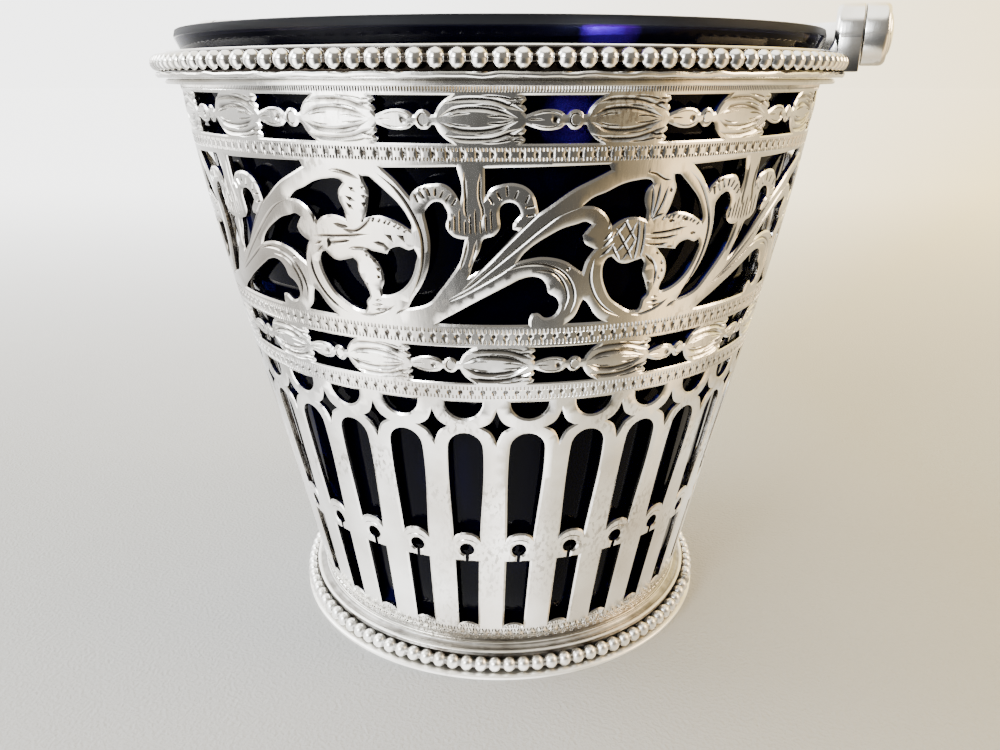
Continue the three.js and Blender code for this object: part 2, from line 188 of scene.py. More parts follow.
class Cell:
    # One repeat of a band: its openings, engraved lines and punched dots, as a closed sheet.
    def __init__(self, wide, low, high):
        self.wide, self.low, self.high = wide, low, high
        self.loops, self.lines, self.dots = [], [], []

    def copies(self, shape, reach=0.3):
        # A shape near one end of the cell also shows at the other end.
        low, high = shape[:, 0].min(), shape[:, 0].max()
        shifts = [k * self.wide for k in (-1, 0, 1)]
        return [shape + [s, 0] for s in shifts if high + s > -reach and low + s < self.wide + reach]

    def opening(self, points, **how):
        loop = counterClockwise(smoothed(points, True, **how))
        self.loops += self.copies(loop)

    def line(self, points, wide=0.13, deep=0.07, step=0.35, grimeAndShade=0.75):
        if len(points) > 2:
            curve = smoothed(points, False, step=step)
        else:
            start, end = np.array(points, float)
            curve = np.array([start + (end - start) * share for share in (0, 0.17, 0.83, 1)])
        self.lines += [(c, wide / 2, deep, grimeAndShade) for c in self.copies(curve)]

    def dot(self, centre, radii=(0.17, 0.17), deep=0.09, corners=8):
        ring = np.array(arcPoints(centre, radii, 0, 360, corners)[:-1])
        self.dots += [(c, c.mean(0), radii, deep) for c in self.copies(ring)]

    def depth(self, points):
        # How deep the surface lies at each point, and how dirty that place is.
        deep, grimeAndShade = np.zeros(len(points)), np.zeros(len(points))
        for loop in self.loops:
            gap = nearest(points, loop, True)[0]
            bevel = tooling["bevelDeep"] * np.clip(1 - gap / tooling["bevelWide"], 0, 1)
            deep = np.maximum(deep, bevel)
        for curve, half, cut, dirtAndShade in self.lines:
            low, high = curve.min(0) - half, curve.max(0) + half
            near = np.flatnonzero(((points > low) & (points < high)).all(1))
            if len(near):
                gap, along = nearest(points[near], curve, False)
                full = fullness(along)
                share = np.clip(1 - gap / (half * full), 0, 1) * full
                deep[near] = np.maximum(deep[near], cut * share)
                grimeAndShade[near] = np.maximum(grimeAndShade[near], share * dirtAndShade)
        for _, centre, radii, cut in self.dots:
            share = np.clip(1 - (((points - centre) / radii) ** 2).sum(1), 0, 1)
            deep = np.maximum(deep, cut * share)
            grimeAndShade = np.maximum(grimeAndShade, share)
        return deep, grimeAndShade

    def shapes(self):
        # Every line that the surface has to keep as edges: (points, closed).
        kept = []
        for loop in self.loops:
            kept += [(loop, True), (loop - sideways(loop, True) * tooling["bevelWide"], True)]
        for curve, half, *_ in self.lines:
            side = sideways(curve, False) * (half * fullness(np.linspace(0, 1, len(curve))))[:, None]
            edges = [np.vstack([curve[:1], edge[1:-1], curve[-1:]]) for edge in (curve + side, curve - side)]
            kept += [(edge, False) for edge in (curve, *edges)]
        for ring, centre, _, _ in self.dots:
            kept += [(ring, True), (centre + (ring - centre) * 0.5, True)]
        return kept

    def frameEdges(self):
        step = tooling["edgeStep"]
        across = np.linspace(0, self.wide, max(2, round(self.wide / step) + 1))
        up = np.linspace(self.low, self.high, max(2, round((self.high - self.low) / step) + 1))
        rows = [np.array([(x, y) for x in across]) for y in (self.low, self.high)]
        columns = [np.array([(x, y) for y in up]) for x in (0, self.wide)]
        return [(edge, False) for edge in rows + columns]

    def grid(self, spacing, kept):
        # Points in staggered rows, clear of the lines, so that no face grows long.
        rows = max(1, round((self.high - self.low) / (spacing * 0.87)))
        columns = max(1, round(self.wide / spacing))
        points = [
            (self.wide * (i + 0.25 + 0.5 * (j % 2)) / columns, self.low + (self.high - self.low) * j / rows)
            for j in range(1, rows)
            for i in range(columns)
        ]
        points = np.array(points).reshape(-1, 2)
        for line, closed in kept:
            if len(points):
                points = points[nearest(points, line, closed)[0] > spacing * 0.35]
        return points

    def triangulated(self, points, edges, facing, weld, least):
        # Triangles between the edges, outside the openings and facing one way, and where each point went.
        corners, _, faces, origins, *_ = delaunay_2d_cdt([Vector(p) for p in points], edges, [], 0, weld)
        corners = np.array([tuple(c) for c in corners])
        for axis, ends in enumerate(((0, self.wide), (self.low, self.high))):
            for end in ends:
                corners[np.abs(corners[:, axis] - end) < 1e-4, axis] = end
        faces = np.array([f for f in faces if len(f) == 3])
        middle = corners[faces].mean(1)
        keep = (middle > [0, self.low]).all(1) & (middle < [self.wide, self.high]).all(1)
        for loop in self.loops:
            keep &= ~inside(middle, loop)
        faces = faces[keep]
        a, b, c = (corners[faces[:, k]] for k in range(3))
        area = facing * np.cross(b - a, c - a)
        return corners, np.where((area < 0)[:, None], faces[:, ::-1], faces)[np.abs(area) > least], origins

    def mesh(self, name):
        kept = self.shapes() + self.frameEdges()
        points, edges = [], []
        for line, closed in kept:
            first, count = len(points), len(line)
            points += line.tolist()
            edges += [(first + i, first + (i + 1) % count) for i in range(count if closed else count - 1)]
        points += self.grid(tooling["spacing"], kept).tolist()
        corners, faces, _ = self.triangulated(points, edges, 1, 1e-5, 1e-9)
        used, faces = np.unique(faces, return_inverse=True)
        corners, faces = corners[used], faces.reshape(-1, 3)
        deep, grimeAndShade = self.depth(corners)

        # The back is a plainer sheet between the same edges.
        rim = openEdges(faces)
        names = sorted({i for edge in rim for i in edge})
        index = {n: i for i, n in enumerate(names)}
        lines = [(corners[list(edge)], False) for edge in rim]
        tooMany = len(rim) >= tooling["mostEdges"]
        inner = np.zeros((0, 2)) if tooMany else self.grid(2 * tooling["spacing"], lines)
        points = corners[names].tolist() + inner.tolist()
        edges = [(index[a], index[b]) for a, b in rim]
        back, backFaces, origins = self.triangulated(points, edges, -1, 1e-7, 1e-10)
        home = {source: i for i, sources in enumerate(origins) for source in sources}

        # Walls join the two at their open edges, but not where the next cell follows.
        count = len(corners)
        solid = faces.tolist() + (backFaces + count).tolist()
        for a, b in rim:
            onSide = corners[a, 0] == corners[b, 0] and corners[a, 0] in (0, self.wide)
            if not onSide:
                solid.append([b, a, count + home[index[a]], count + home[index[b]]])
        front = np.column_stack([corners, -deep])
        back = np.column_stack([back, np.full(len(back), -wall["thickness"])])
        # The back is marked fully dark, so the openings' walls darken towards it.
        return meshFrom(name, np.vstack([front, back]), solid, np.concatenate([grimeAndShade, np.ones(len(back))]))


# Node helpers
def fed(tree, node, inputs):
    # Gives a node's inputs their values, or links what feeds them.
    for key, value in inputs.items():
        if isinstance(value, bpy.types.NodeSocket):
            tree.links.new(value, node.inputs[key])
        else:
            node.inputs[key].default_value = value
    return node


def added(tree, kind, inputs=(), **settings):
    node = tree.nodes.new(kind)
    for name, value in settings.items():
        setattr(node, name, value)
    return fed(tree, node, dict(inputs))


def maths(tree, operation, *values):
    return added(tree, "ShaderNodeMath", enumerate(values), operation=operation).outputs[0]


def product(tree, first, *others):
    for other in others:
        first = maths(tree, "MULTIPLY", first, other)
    return first


def vectorMaths(tree, operation, *vectors, result="Vector"):
    return added(tree, "ShaderNodeVectorMath", enumerate(vectors), operation=operation).outputs[result]


def vector(tree, x, y, z):
    return added(tree, "ShaderNodeCombineXYZ", {0: x, 1: y, 2: z}).outputs[0]


def axes(tree, place):
    return added(tree, "ShaderNodeSeparateXYZ", {0: place}).outputs


def onCircle(tree, radius, angle, height):
    x, y = (product(tree, radius, maths(tree, wave, angle)) for wave in ("COSINE", "SINE"))
    return vector(tree, x, y, height)


def newTree(name, count, sizes):
    # A Geometry Nodes tree with a count, sizes and a material as its named inputs.
    tree = bpy.data.node_groups.new(name, "GeometryNodeTree")
    inputs = {"Geometry": "Geometry", count: "Int", **dict.fromkeys(sizes, "Float"), "Material": "Material"}
    for label, kind in inputs.items():
        tree.interface.new_socket(label, in_out="INPUT", socket_type="NodeSocket" + kind)
    tree.interface.new_socket("Geometry", in_out="OUTPUT", socket_type="NodeSocketGeometry")
    return tree, tree.nodes.new("NodeGroupInput").outputs, tree.nodes.new("NodeGroupOutput")


def finishTree(tree, value, end, geometry):
    real = added(tree, "GeometryNodeRealizeInstances", {0: geometry})
    smooth = added(tree, "GeometryNodeSetShadeSmooth", {0: real.outputs[0]})
    paint = added(tree, "GeometryNodeSetMaterial", {0: smooth.outputs[0], "Material": value["Material"]})
    fed(tree, end, {0: paint.outputs[0]})


def wrapTree():
    # Repeats a flat cell along X, then bends the strip round the wall's cone.
    sizes = ("Cell Width", "Flat Radius", "Start", "Drift", "Foot Radius", "Top Radius", "Foot Beads",
             "Rim Beads", "Belly", "Wall Foot", "Wall Top")
    tree, value, end = newTree("wrapRoundWall", "Repeats", sizes)
    offset = vector(tree, value["Cell Width"], 0, 0)
    line = added(tree, "GeometryNodeMeshLine", {"Count": value["Repeats"], "Offset": offset})
    row = {"Points": line.outputs[0], "Instance": value["Geometry"]}
    row = added(tree, "GeometryNodeInstanceOnPoints", row)
    strip = added(tree, "GeometryNodeRealizeInstances", {0: row.outputs[0]})
    x, y, z = axes(tree, added(tree, "GeometryNodeInputPosition").outputs[0])

    def rise(low, high):
        above = maths(tree, "SUBTRACT", y, value[low])
        return maths(tree, "DIVIDE", above, maths(tree, "SUBTRACT", value[high], value[low]))

    angle = maths(tree, "DIVIDE", x, value["Flat Radius"])
    sine = maths(tree, "SINE", angle)
    angle = maths(tree, "ADD", angle, product(tree, sine, sine, sine, value["Drift"]))
    angle = maths(tree, "ADD", angle, value["Start"])
    widening = maths(tree, "SUBTRACT", value["Top Radius"], value["Foot Radius"])
    cone = maths(tree, "MULTIPLY_ADD", rise("Foot Beads", "Rim Beads"), widening, value["Foot Radius"])
    up = rise("Wall Foot", "Wall Top")
    swell = maths(tree, "SINE", product(tree, up, up, math.pi))
    radius = maths(tree, "ADD", maths(tree, "MULTIPLY_ADD", swell, value["Belly"], cone), z)
    bent = {"Geometry": strip.outputs[0], "Position": onCircle(tree, radius, angle, y)}
    bent = added(tree, "GeometryNodeSetPosition", bent)
    merged = added(tree, "GeometryNodeMergeByDistance", {"Geometry": bent.outputs[0], "Distance": 2e-6})
    finishTree(tree, value, end, merged.outputs[0])
    return tree


def storeGrimeAndShade(tree, geometry, amount):
    # Stores how dark the metal is painted, by grime and by painted shade, for its material.
    inputs = {"Geometry": geometry, "Name": "grimeAndShade"}
    node = added(tree, "GeometryNodeStoreNamedAttribute", inputs, data_type="FLOAT")
    socket = next(s for s in node.inputs if s.name == "Value" and s.enabled)
    tree.links.new(amount, socket)
    return node.outputs[0]


def beadTree():
    # A row of beads on an arc about Z, with the thin wire that joins them.
    sizes = ("Ring Radius", "Height", "Bead Radius", "Bead Tall", "From", "Step", "Wire Radius",
             "Wire Shade And Grime", "Clean Unshaded Share")
    tree, value, end = newTree("beadRow", "Beads", sizes)
    index = added(tree, "GeometryNodeInputIndex").outputs[0]
    angle = maths(tree, "MULTIPLY_ADD", index, value["Step"], value["From"])
    place = onCircle(tree, value["Ring Radius"], angle, value["Height"])
    line = added(tree, "GeometryNodeMeshLine", {"Count": value["Beads"]})
    spread = added(tree, "GeometryNodeSetPosition", {"Geometry": line.outputs[0], "Position": place})

    # Painted shade, with some old polish, darkens the beads where they meet and their wire.
    ball = {"Segments": 12, "Rings": 8, "Radius": value["Bead Radius"]}
    ball = added(tree, "GeometryNodeMeshUVSphere", ball)
    across = axes(tree, added(tree, "GeometryNodeInputPosition").outputs[0])[1]
    side = maths(tree, "DIVIDE", maths(tree, "ABSOLUTE", across), value["Bead Radius"])
    dark = maths(tree, "MAXIMUM", maths(tree, "SUBTRACT", side, value["Clean Unshaded Share"]), 0)
    row = added(tree, "GeometryNodeInstanceOnPoints", {
        "Points": spread.outputs[0],
        "Instance": storeGrimeAndShade(tree, ball.outputs[0], product(tree, dark, 2.8)),
        "Rotation": vector(tree, 0, 0, angle),
        "Scale": vector(tree, 1, 1, value["Bead Tall"]),
    })
    wire = added(tree, "GeometryNodeMeshToCurve", {0: spread.outputs[0]})
    section = {"Resolution": 8, "Radius": value["Wire Radius"]}
    section = added(tree, "GeometryNodeCurvePrimitiveCircle", section)
    tube = {"Curve": wire.outputs[0], "Profile Curve": section.outputs[0], "Fill Caps": True}
    tube = added(tree, "GeometryNodeCurveToMesh", tube)
    join = added(tree, "GeometryNodeJoinGeometry", {0: storeGrimeAndShade(tree, tube.outputs[0], value["Wire Shade And Grime"])})
    fed(tree, join, {0: row.outputs[0]})
    finishTree(tree, value, end, join.outputs[0])
    return tree


def grown(name, source, tree, values):
    # Runs a tree on a mesh and gives the result as a plain mesh.
    source = bpy.data.objects.new(name + "Source", source)
    bpy.context.scene.collection.objects.link(source)
    modifier = source.modifiers.new("grow", "NODES")
    modifier.node_group = tree
    for item in tree.interface.items_tree:
        if item.item_type == "SOCKET" and item.in_out == "INPUT" and item.name in values:
            modifier[item.identifier] = values[item.name]
    graph = bpy.context.evaluated_depsgraph_get()
    result = bpy.data.meshes.new_from_object(source.evaluated_get(graph), depsgraph=graph)
    source.modifiers.remove(modifier)
    bpy.data.objects.remove(source)
    result.name = name
    return result


def dressed(name, mesh, body, node, sharpDegrees=30, material=None):
    # Puts a finished mesh in the scene, in the place of a CAD node.
    if material:
        mesh.materials.append(material)
        mesh.shade_smooth()
    mesh.set_sharp_from_angle(angle=math.radians(sharpDegrees))
    piece = bpy.data.objects.new(name, mesh)
    bpy.context.scene.collection.objects.link(piece)
    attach(piece, body)
    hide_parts(node)
    print(name, len(mesh.polygons), "faces")


def outwards(mesh):
    shape = bmesh.new()
    shape.from_mesh(mesh)
    bmesh.ops.remove_doubles(shape, verts=shape.verts, dist=1e-7)
    bmesh.ops.recalc_face_normals(shape, faces=shape.faces)
    shape.to_mesh(mesh)
    shape.free()
    return mesh


def turnedMesh(name, profile, segments, wave=None):
    # A closed profile of (radius, height) in mm, turned about Z, with a third value for how dark it is
    # painted, by grime and by painted shade.
    dirtAndShade = [p[2] if len(p) > 2 else 0 for p in profile]
    profile = np.array([p[:2] for p in profile], float)
    rings, faces = [], []
    count = len(profile)
    for i in range(segments):
        angle = turn * i / segments
        radius, height = profile.T.copy()
        if wave:
            radius, height = wave(angle, radius, height)
        rings.append(np.column_stack([radius * math.cos(angle), radius * math.sin(angle), height]))
        here, ahead = i * count, (i + 1) % segments * count
        for k in range(count):
            up = (k + 1) % count
            if profile[k, 0] > 0 or profile[up, 0] > 0:
                faces.append((here + k, ahead + k, ahead + up, here + up))
    return outwards(meshFrom(name, np.vstack(rings), faces, dirtAndShade * segments))


# Materials
def newMaterial(name):
    material = bpy.data.materials.new(name)
    material.use_nodes = True
    tree = material.node_tree
    place = added(tree, "ShaderNodeTexCoord").outputs["Object"]
    return material, tree, tree.nodes["Principled BSDF"], place


def noise(tree, place, scale, detail=2, stretch=(1, 1, 1), spin=(0, 0, 0)):
    mapping = added(tree, "ShaderNodeMapping", {0: place, "Scale": stretch, "Rotation": spin})
    texture = {"Vector": mapping.outputs[0], "Scale": scale, "Detail": detail}
    return added(tree, "ShaderNodeTexNoise", texture).outputs["Fac"]


def ramp(tree, value, *stops):
    node = added(tree, "ShaderNodeValToRGB", {0: value})
    line = node.color_ramp.elements
    while len(line) < len(stops):
        line.new(0.5)
    for element, (place, shade) in zip(line, stops):
        element.position = place
        element.color = (*shade, 1) if isinstance(shade, tuple) else (shade, shade, shade, 1)
    return node.outputs[0]


def rising(tree, value, low, high, kind="LINEAR"):
    # 0 up to one value and 1 from another.
    inputs = {"Value": value, "From Min": low, "From Max": high}
    return added(tree, "ShaderNodeMapRange", inputs, interpolation_type=kind).outputs[0]


def mixed(tree, factor, a, b):
    a, b = ((*shade, 1) if isinstance(shade, tuple) else shade for shade in (a, b))
    return added(tree, "ShaderNodeMix", {0: factor, 6: a, 7: b}, data_type="RGBA").outputs[2]


def bumped(tree, shader, height, distance, strength=1):
    bump = {"Height": height, "Distance": distance, "Strength": strength}
    fed(tree, shader, {"Normal": added(tree, "ShaderNodeBump", bump).outputs[0]})


# Old silver; polishing has scratched it most beside the keyholes in front
silverLook = dict(
    bright=(0.88, 0.865, 0.825),
    dull=(0.58, 0.555, 0.5),
    toned=(0.36, 0.31, 0.25),
    worn=(0.22, 0.2, 0.17),
    tarnishAndShade=(0.035, 0.028, 0.022),
    wornSpots=((0.0089, -0.0258, 0.0168), (0.0128, -0.0246, 0.0172), (0.0195, -0.0192, 0.02)),
    wornReach=0.006,
)


def silverMaterial(name, rough, toning, scratches):
    # Clouded, toned brown in places, scratched, tarnished dark in its grooves, and painted dark as shade
    # where its mesh marks shade.
    s = silverLook
    material, tree, shader, place = newMaterial(name)
    cloud = noise(tree, place, 110, 4)
    colour = mixed(tree, ramp(tree, cloud, (0.4, 0.0), (0.72, 1.0)), s["bright"], s["dull"])
    tone = ramp(tree, noise(tree, place, 38, 3), (0.5, 0.0), (0.68, 1.0))
    colour = mixed(tree, product(tree, tone, toning), colour, s["toned"])
    streaks = ramp(tree, noise(tree, place, 2600, 2, stretch=(1, 1, 0.5)), (0.5, 0.0), (0.6, 1.0))
    patches = ramp(tree, noise(tree, place, 130, 2), (0.55, 0.0), (0.7, 1.0))
    for spot in s["wornSpots"]:
        gap = vectorMaths(tree, "DISTANCE", place, spot, result="Value")
        near = maths(tree, "MULTIPLY_ADD", gap, -1 / s["wornReach"], 1.5)
        patches = maths(tree, "MAXIMUM", patches, product(tree, near, noise(tree, place, 420, 2)))
    worn = product(tree, streaks, patches, scratches)
    colour = mixed(tree, worn, colour, s["worn"])
    grimeAndShade = added(tree, "ShaderNodeAttribute", attribute_name="grimeAndShade").outputs["Fac"]
    streaky = maths(tree, "MULTIPLY_ADD", noise(tree, place, 500, 2), 0.8, 0.6)
    grimedAndShaded = ramp(tree, product(tree, grimeAndShade, streaky), (0.12, 0.0), (0.85, 1.0))
    spread = maths(tree, "MULTIPLY_ADD", cloud, rough[1] - rough[0], rough[0])
    fed(tree, shader, {
        "Base Color": mixed(tree, grimedAndShaded, colour, s["tarnishAndShade"]),
        "Metallic": 1,
        "Roughness": maths(tree, "MULTIPLY_ADD", worn, 0.25, spread),
    })
    hairlines = noise(tree, place, 2500, 2, stretch=(1, 1, 0.06), spin=(0.5, 0.3, 0.2))
    dents = maths(tree, "MULTIPLY_ADD", noise(tree, place, 110, 2), 3, noise(tree, place, 300, 2))
    bumped(tree, shader, maths(tree, "MULTIPLY_ADD", hairlines, 0.2, dents), 0.00006, 0.7)
    return material


wallSilver = silverMaterial("wallSilver", (0.09, 0.22), 0.75, 0.85)
brightSilver = silverMaterial("brightSilver", (0.08, 0.22), 0.5, 0.3)
castSilver = silverMaterial("castSilver", (0.12, 0.3), 0.6, 0.7)
footSilver = silverMaterial("footSilver", (0.26, 0.42), 0.5, 0.3)

# Cobalt glass: nearly black where it is thick, blue where it is thin, painted bright blue at two spots as a
# window's reflection, grey where its rim is ground
glassLook = dict(
    body=(0.0006, 0.0006, 0.018),
    rimBand=(0.004, 0.004, 0.014),
    thin=(0.004, 0.002, 0.12),
    paintedReflection=(0.07, 0.0, 0.6),
    ground=(0.035, 0.037, 0.045),
    reflectionSpots=((0.0202, -0.0302, 0.0707), (0.0178, -0.0309, 0.0643)),
)


def cobaltGlass():
    g = glassLook
    material, tree, shader, place = newMaterial("cobaltGlass")
    height = axes(tree, place)[2]
    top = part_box("glass_liner")[1].z
    rim = rising(tree, height, top - 0.0024, top - 0.0016)
    ground = rising(tree, height, top - 0.00088, top - 0.00073)
    thin = ramp(tree, noise(tree, place, 55, 1), (0.64, 0.0), (0.76, 1.0))
    # Painted reflection: two fixed spots on the glass are painted bright blue.
    gaps = [vectorMaths(tree, "DISTANCE", place, spot, result="Value") for spot in g["reflectionSpots"]]
    uneven = maths(tree, "MULTIPLY_ADD", noise(tree, place, 400, 1), 0.002, maths(tree, "MINIMUM", *gaps))
    paintedReflection = ramp(tree, product(tree, uneven, 100), (0.26, 1.0), (0.38, 0.0))
    tint = mixed(tree, rim, g["body"], g["rimBand"])
    tint = mixed(tree, thin, tint, g["thin"])
    tint = mixed(tree, paintedReflection, tint, g["paintedReflection"])
    rough = maths(tree, "MULTIPLY_ADD", noise(tree, place, 60, 2), 0.04, 0.01)
    fed(tree, shader, {
        "Base Color": mixed(tree, ground, tint, g["ground"]),
        "Transmission Weight": 0.88,
        "IOR": 1.1,
        "Roughness": maths(tree, "MULTIPLY_ADD", ground, 0.4, rough),
    })
    bumped(tree, shader, noise(tree, place, 60, 1, stretch=(1, 1, 0.5)), 0.0003, 0.4)
    return material


glassBlue = cobaltGlass()
print("materials made")

# Camera: the photograph's eye, 108.4 mm from the pail's axis and a little below the rim beads
camera = dict(distance=108.4, height=67.65, azimuth=20, pitch=19.82, lens=29.78, sensor=36)


def placeCamera():
    data = bpy.data.cameras.new("camera")
    data.lens = camera["lens"]
    data.sensor_width = camera["sensor"]
    data.clip_start = 0.005
    eye = bpy.data.objects.new("camera", data)
    bpy.context.scene.collection.objects.link(eye)
    azimuth, pitch = math.radians(camera["azimuth"]), math.radians(camera["pitch"])
    away = camera["distance"] * mm
    eye.location = (away * math.sin(azimuth), -away * math.cos(azimuth), camera["height"] * mm)
    eye.rotation_euler = (math.pi / 2 - pitch, 0, azimuth)
    bpy.context.scene.camera = eye


placeCamera()

# Bands of the wall, in mm above the table; past each band its sheet runs on by the margin, to meet the next
bands = dict(
    slotFoot=5.95, slotTop=16.05, keyhole=17.75, archFoot=19.35, spring=31.5, crown=33.45,
    diamond=34.2, halfRoundFoot=35.2, halfRoundTop=37.2, arcadeTop=37.4,
    lowerHusks=(39.35, 43.3), scrolls=(45.6, 60.55), upperHusks=(62.35, 66.25),
)
margin = 0.15
wrap = wrapTree()


def wrapped(name, cell, repeats, flatRadius, startDegrees, driftDegrees=0):
    values = {
        "Repeats": repeats,
        "Cell Width": cell.wide * mm,
        "Flat Radius": flatRadius * mm,
        "Start": math.radians(startDegrees),
        "Drift": math.radians(driftDegrees),
        "Foot Radius": wall["footRadius"] * mm,
        "Top Radius": wall["topRadius"] * mm,
        "Foot Beads": wall["footBeads"] * mm,
        "Rim Beads": wall["rimBeads"] * mm,
        "Belly": wall["belly"] * mm,
        "Wall Foot": wallFoot * mm,
        "Wall Top": wallTop * mm,
        "Material": wallSilver,
    }
    dressed(name, grown(name, cell.mesh(name + "Cell"), wrap, values), "pail", "pierced_body")


# Arcade: tall round-topped slots over short ones with keyholes.
# The slots' feet are (share of the half width, rise in mm), and the diamond is in shares of its half sizes.
arcade = dict(
    count=30, start=6.4, slotHalf=1.36, slotFootHalf=1.2, tallHalf=1.86, tallFootHalf=1.5,
    keyRadius=0.85, slitHalf=0.2, scribedRadius=1.5, halfRoundHalf=1.98, diamondHalf=1.5, diamondReach=1.98,
    slotFoot=((-1, 0), (-0.75, 0.275), (-0.35, 0.5), (0.35, 0.5), (0.75, 0.275), (1, 0)),
    tallFoot=((-1, 0), (-0.8, 0.45), (-0.4, 0.78), (0, 0.85), (0.4, 0.78), (0.8, 0.45), (1, 0)),
    diamondSides=((0, 1), (0.3, 0.42), (0.55, 0.2), (1, 0), (0.55, -0.2), (0.3, -0.42), (0, -1),
                  (-0.3, -0.42), (-0.55, -0.2), (-1, 0), (-0.55, 0.2), (-0.3, 0.42)),
    leanHeights=(6.5, 33), leanDegrees=(-0.75, 1.0), rays=7, rayStep=0.36, ticks=14, dots=5, petals=5,
)


def arcadeBand():
    a = arcade
    flat = wallRadius((bands["slotTop"] + bands["spring"]) / 2)
    cell = Cell(turn * flat / a["count"], wallFoot, bands["arcadeTop"])

    def at(x, y):
        lean = np.interp(y, a["leanHeights"], a["leanDegrees"])
        return (cell.wide / 2 + x * flat / wallRadius(y) + flat * math.radians(lean), y)

    def bow(height, wide, tall, start, end, steps):
        # An arc round the slot's middle line, in true mm on the cone.
        return arcPoints(at(0, height), (wide * flat / wallRadius(height), tall), start, end, steps)

    foot, archFoot, top, key = (bands[name] for name in ("slotFoot", "archFoot", "slotTop", "keyhole"))
    spring, roundTop = bands["spring"], bands["halfRoundTop"]
    tallFoot = [at(x * a["tallFootHalf"], archFoot + y) for x, y in a["tallFoot"]]
    cell.opening(bow(spring, a["tallHalf"], bands["crown"] - spring, 0, 180, 12) + tallFoot, step=0.5)
    right = [at(a["slotHalf"], top), at(a["slitHalf"], top)]
    left = [at(-a["slitHalf"], top), at(-a["slotHalf"], top)]
    slotFoot = [at(x * a["slotFootHalf"], foot + y) for x, y in a["slotFoot"]]
    ring = bow(key, a["keyRadius"], a["keyRadius"], -76, 256, 16)
    cell.opening(right + ring + left + slotFoot, step=0.5)
    rise = roundTop - bands["halfRoundFoot"]
    cell.opening(bow(roundTop, a["halfRoundHalf"], rise, 180, 360, 12), step=0.6)
    corner, centre = at(0, bands["diamond"])[0] - cell.wide / 2, bands["diamond"]
    half = a["diamondHalf"] * flat / wallRadius(centre)
    sides = [(corner + x * half, centre + y * a["diamondReach"]) for x, y in a["diamondSides"]]
    cell.opening(sides, step=0.35)

    # A scribed ring over each keyhole, and rays on the scallops
    cell.line(bow(key, a["scribedRadius"], a["scribedRadius"], 35, 145, 8), 0.14, 0.05)
    for k in range(a["rays"]):
        off = k - a["rays"] // 2
        x = off * a["rayStep"]
        cell.line([at(x * 0.7, foot - 0.3), at(x, foot + 0.32 - 0.1 * abs(off))], 0.18, 0.1)
    # Foot border: slanting ticks, pairs of dots, then punched flowers
    for k in range(a["ticks"]):
        x = cell.wide * (k + 0.5) / a["ticks"]
        lean = 0.09 if k % 2 else -0.09
        cell.line([(x - lean, foot - 0.98), (x + lean, foot - 0.36)], 0.19, 0.11)
    for k in range(a["dots"]):
        x = cell.wide * (k + 0.5) / a["dots"]
        for side in (-0.19, 0.19):
            cell.dot((x + side, foot - 1.27), (0.17, 0.18), 0.13, 7)
        flower = (x + cell.wide / 2 / a["dots"], foot - 1.72)
        for petal in arcPoints(flower, (0.24, 0.22), 90, 450, a["petals"])[:-1]:
            cell.dot(petal, (0.11, 0.11), 0.08, 6)
    wrapped("wall_arcade", cell, a["count"], flat, a["start"] - 180 / a["count"])


arcadeBand()

# Husk bands: a chain of buds, drops and beads between two long windows.
# A window's sides are given by share of the cell and of the band's half height; the shift is in cells.
husks = dict(
    bead=0.925, beadWide=0.062, beadTall=0.42, shift=0.03,
    outer=((0.565, 1.0), (1.115, 1.0), (1.065, 0.78), (1.025, 0.5), (1.003, 0.22)),
    inner=((0.858, 0.2), (0.835, 0.33), (0.775, 0.43), (0.7, 0.41), (0.64, 0.3), (0.6, 0.2), (0.585, 0.3),
           (0.602, 0.42), (0.592, 0.55), (0.568, 0.62), (0.575, 0.68), (0.6, 0.8), (0.592, 0.93)),
)
# Width and depth in mm, then points: bold lens petal, outer petals, veins, and nicks between the tips
huskStrokes = [
    (0.58, 0.22, [(0.03, 0.1), (0.13, 0.38), (0.27, 0.47), (0.42, 0.34), (0.55, 0.06)]),
    (0.54, 0.2, [(0.04, 0.6), (0.13, 0.78), (0.26, 0.84), (0.4, 0.76), (0.52, 0.5), (0.59, 0.32)]),
    (0.24, 0.11, [(0.3, 0.98), (0.44, 0.91), (0.54, 0.77)]),
    (0.26, 0.12, [(0.26, 0.62), (0.38, 0.56), (0.48, 0.38)]),
    (0.24, 0.11, [(0.34, 0.15), (0.44, 0.13), (0.52, 0.03)]),
    (0.2, 0.09, [(0.08, 0.12), (0.16, 0.24), (0.24, 0.26)]),
    (0.24, 0.1, [(-0.03, 0.62), (0.03, 0.8), (0.1, 0.95)]),
    (0.3, 0.16, [(0.44, 0.6), (0.52, 0.66), (0.58, 0.64)]),
    (0.2, 0.1, [(0.5, 0.86), (0.55, 0.85), (0.6, 0.88)]),
    (0.18, 0.08, [(0.64, 0.16), (0.7, 0.29), (0.78, 0.3), (0.84, 0.14)]),
]


def huskBand(name, low, high, count, startDegrees):
    h = husks
    middle, half = (low + high) / 2, (high - low) / 2
    flat = wallRadius(middle)
    cell = Cell(turn * flat / count, low - margin, high + margin)

    def at(x, y):
        return (x * cell.wide, middle + y * half)

    bead = arcPoints((h["bead"], 0), (h["beadWide"], h["beadTall"]), 28, 152, 6)
    for side in (1, -1):
        cell.opening([at(x, side * y) for x, y in (*h["outer"], *bead, *h["inner"])], step=0.22)
        for wide, deep, points in huskStrokes:
            cell.line([at(x, side * y) for x, y in points], wide, deep)
    cell.dot(at(0.79, 0), (0.36, 0.38), 0.14)
    cell.line(arcPoints(at(h["bead"], 0), (0.036 * cell.wide, 0.27 * half), 20, 340, 10), 0.2, 0.12)
    cell.line([at(0.61, 0), at(0.66, 0.02), at(0.72, 0)], 0.16, 0.07)
    wrapped(name, cell, count, flat, startDegrees - h["shift"] * 360 / count)


huskBand("wall_lower_husks", *bands["lowerHusks"], 17, -76.2)
huskBand("wall_upper_husks", *bands["upperHusks"], 18, -78)

# Borders: a row of punched dots between two rows of ticks
borders = dict(count=180, tickWide=0.19, tickDeep=0.07, tickGrime=0.75, dotDeep=0.19)


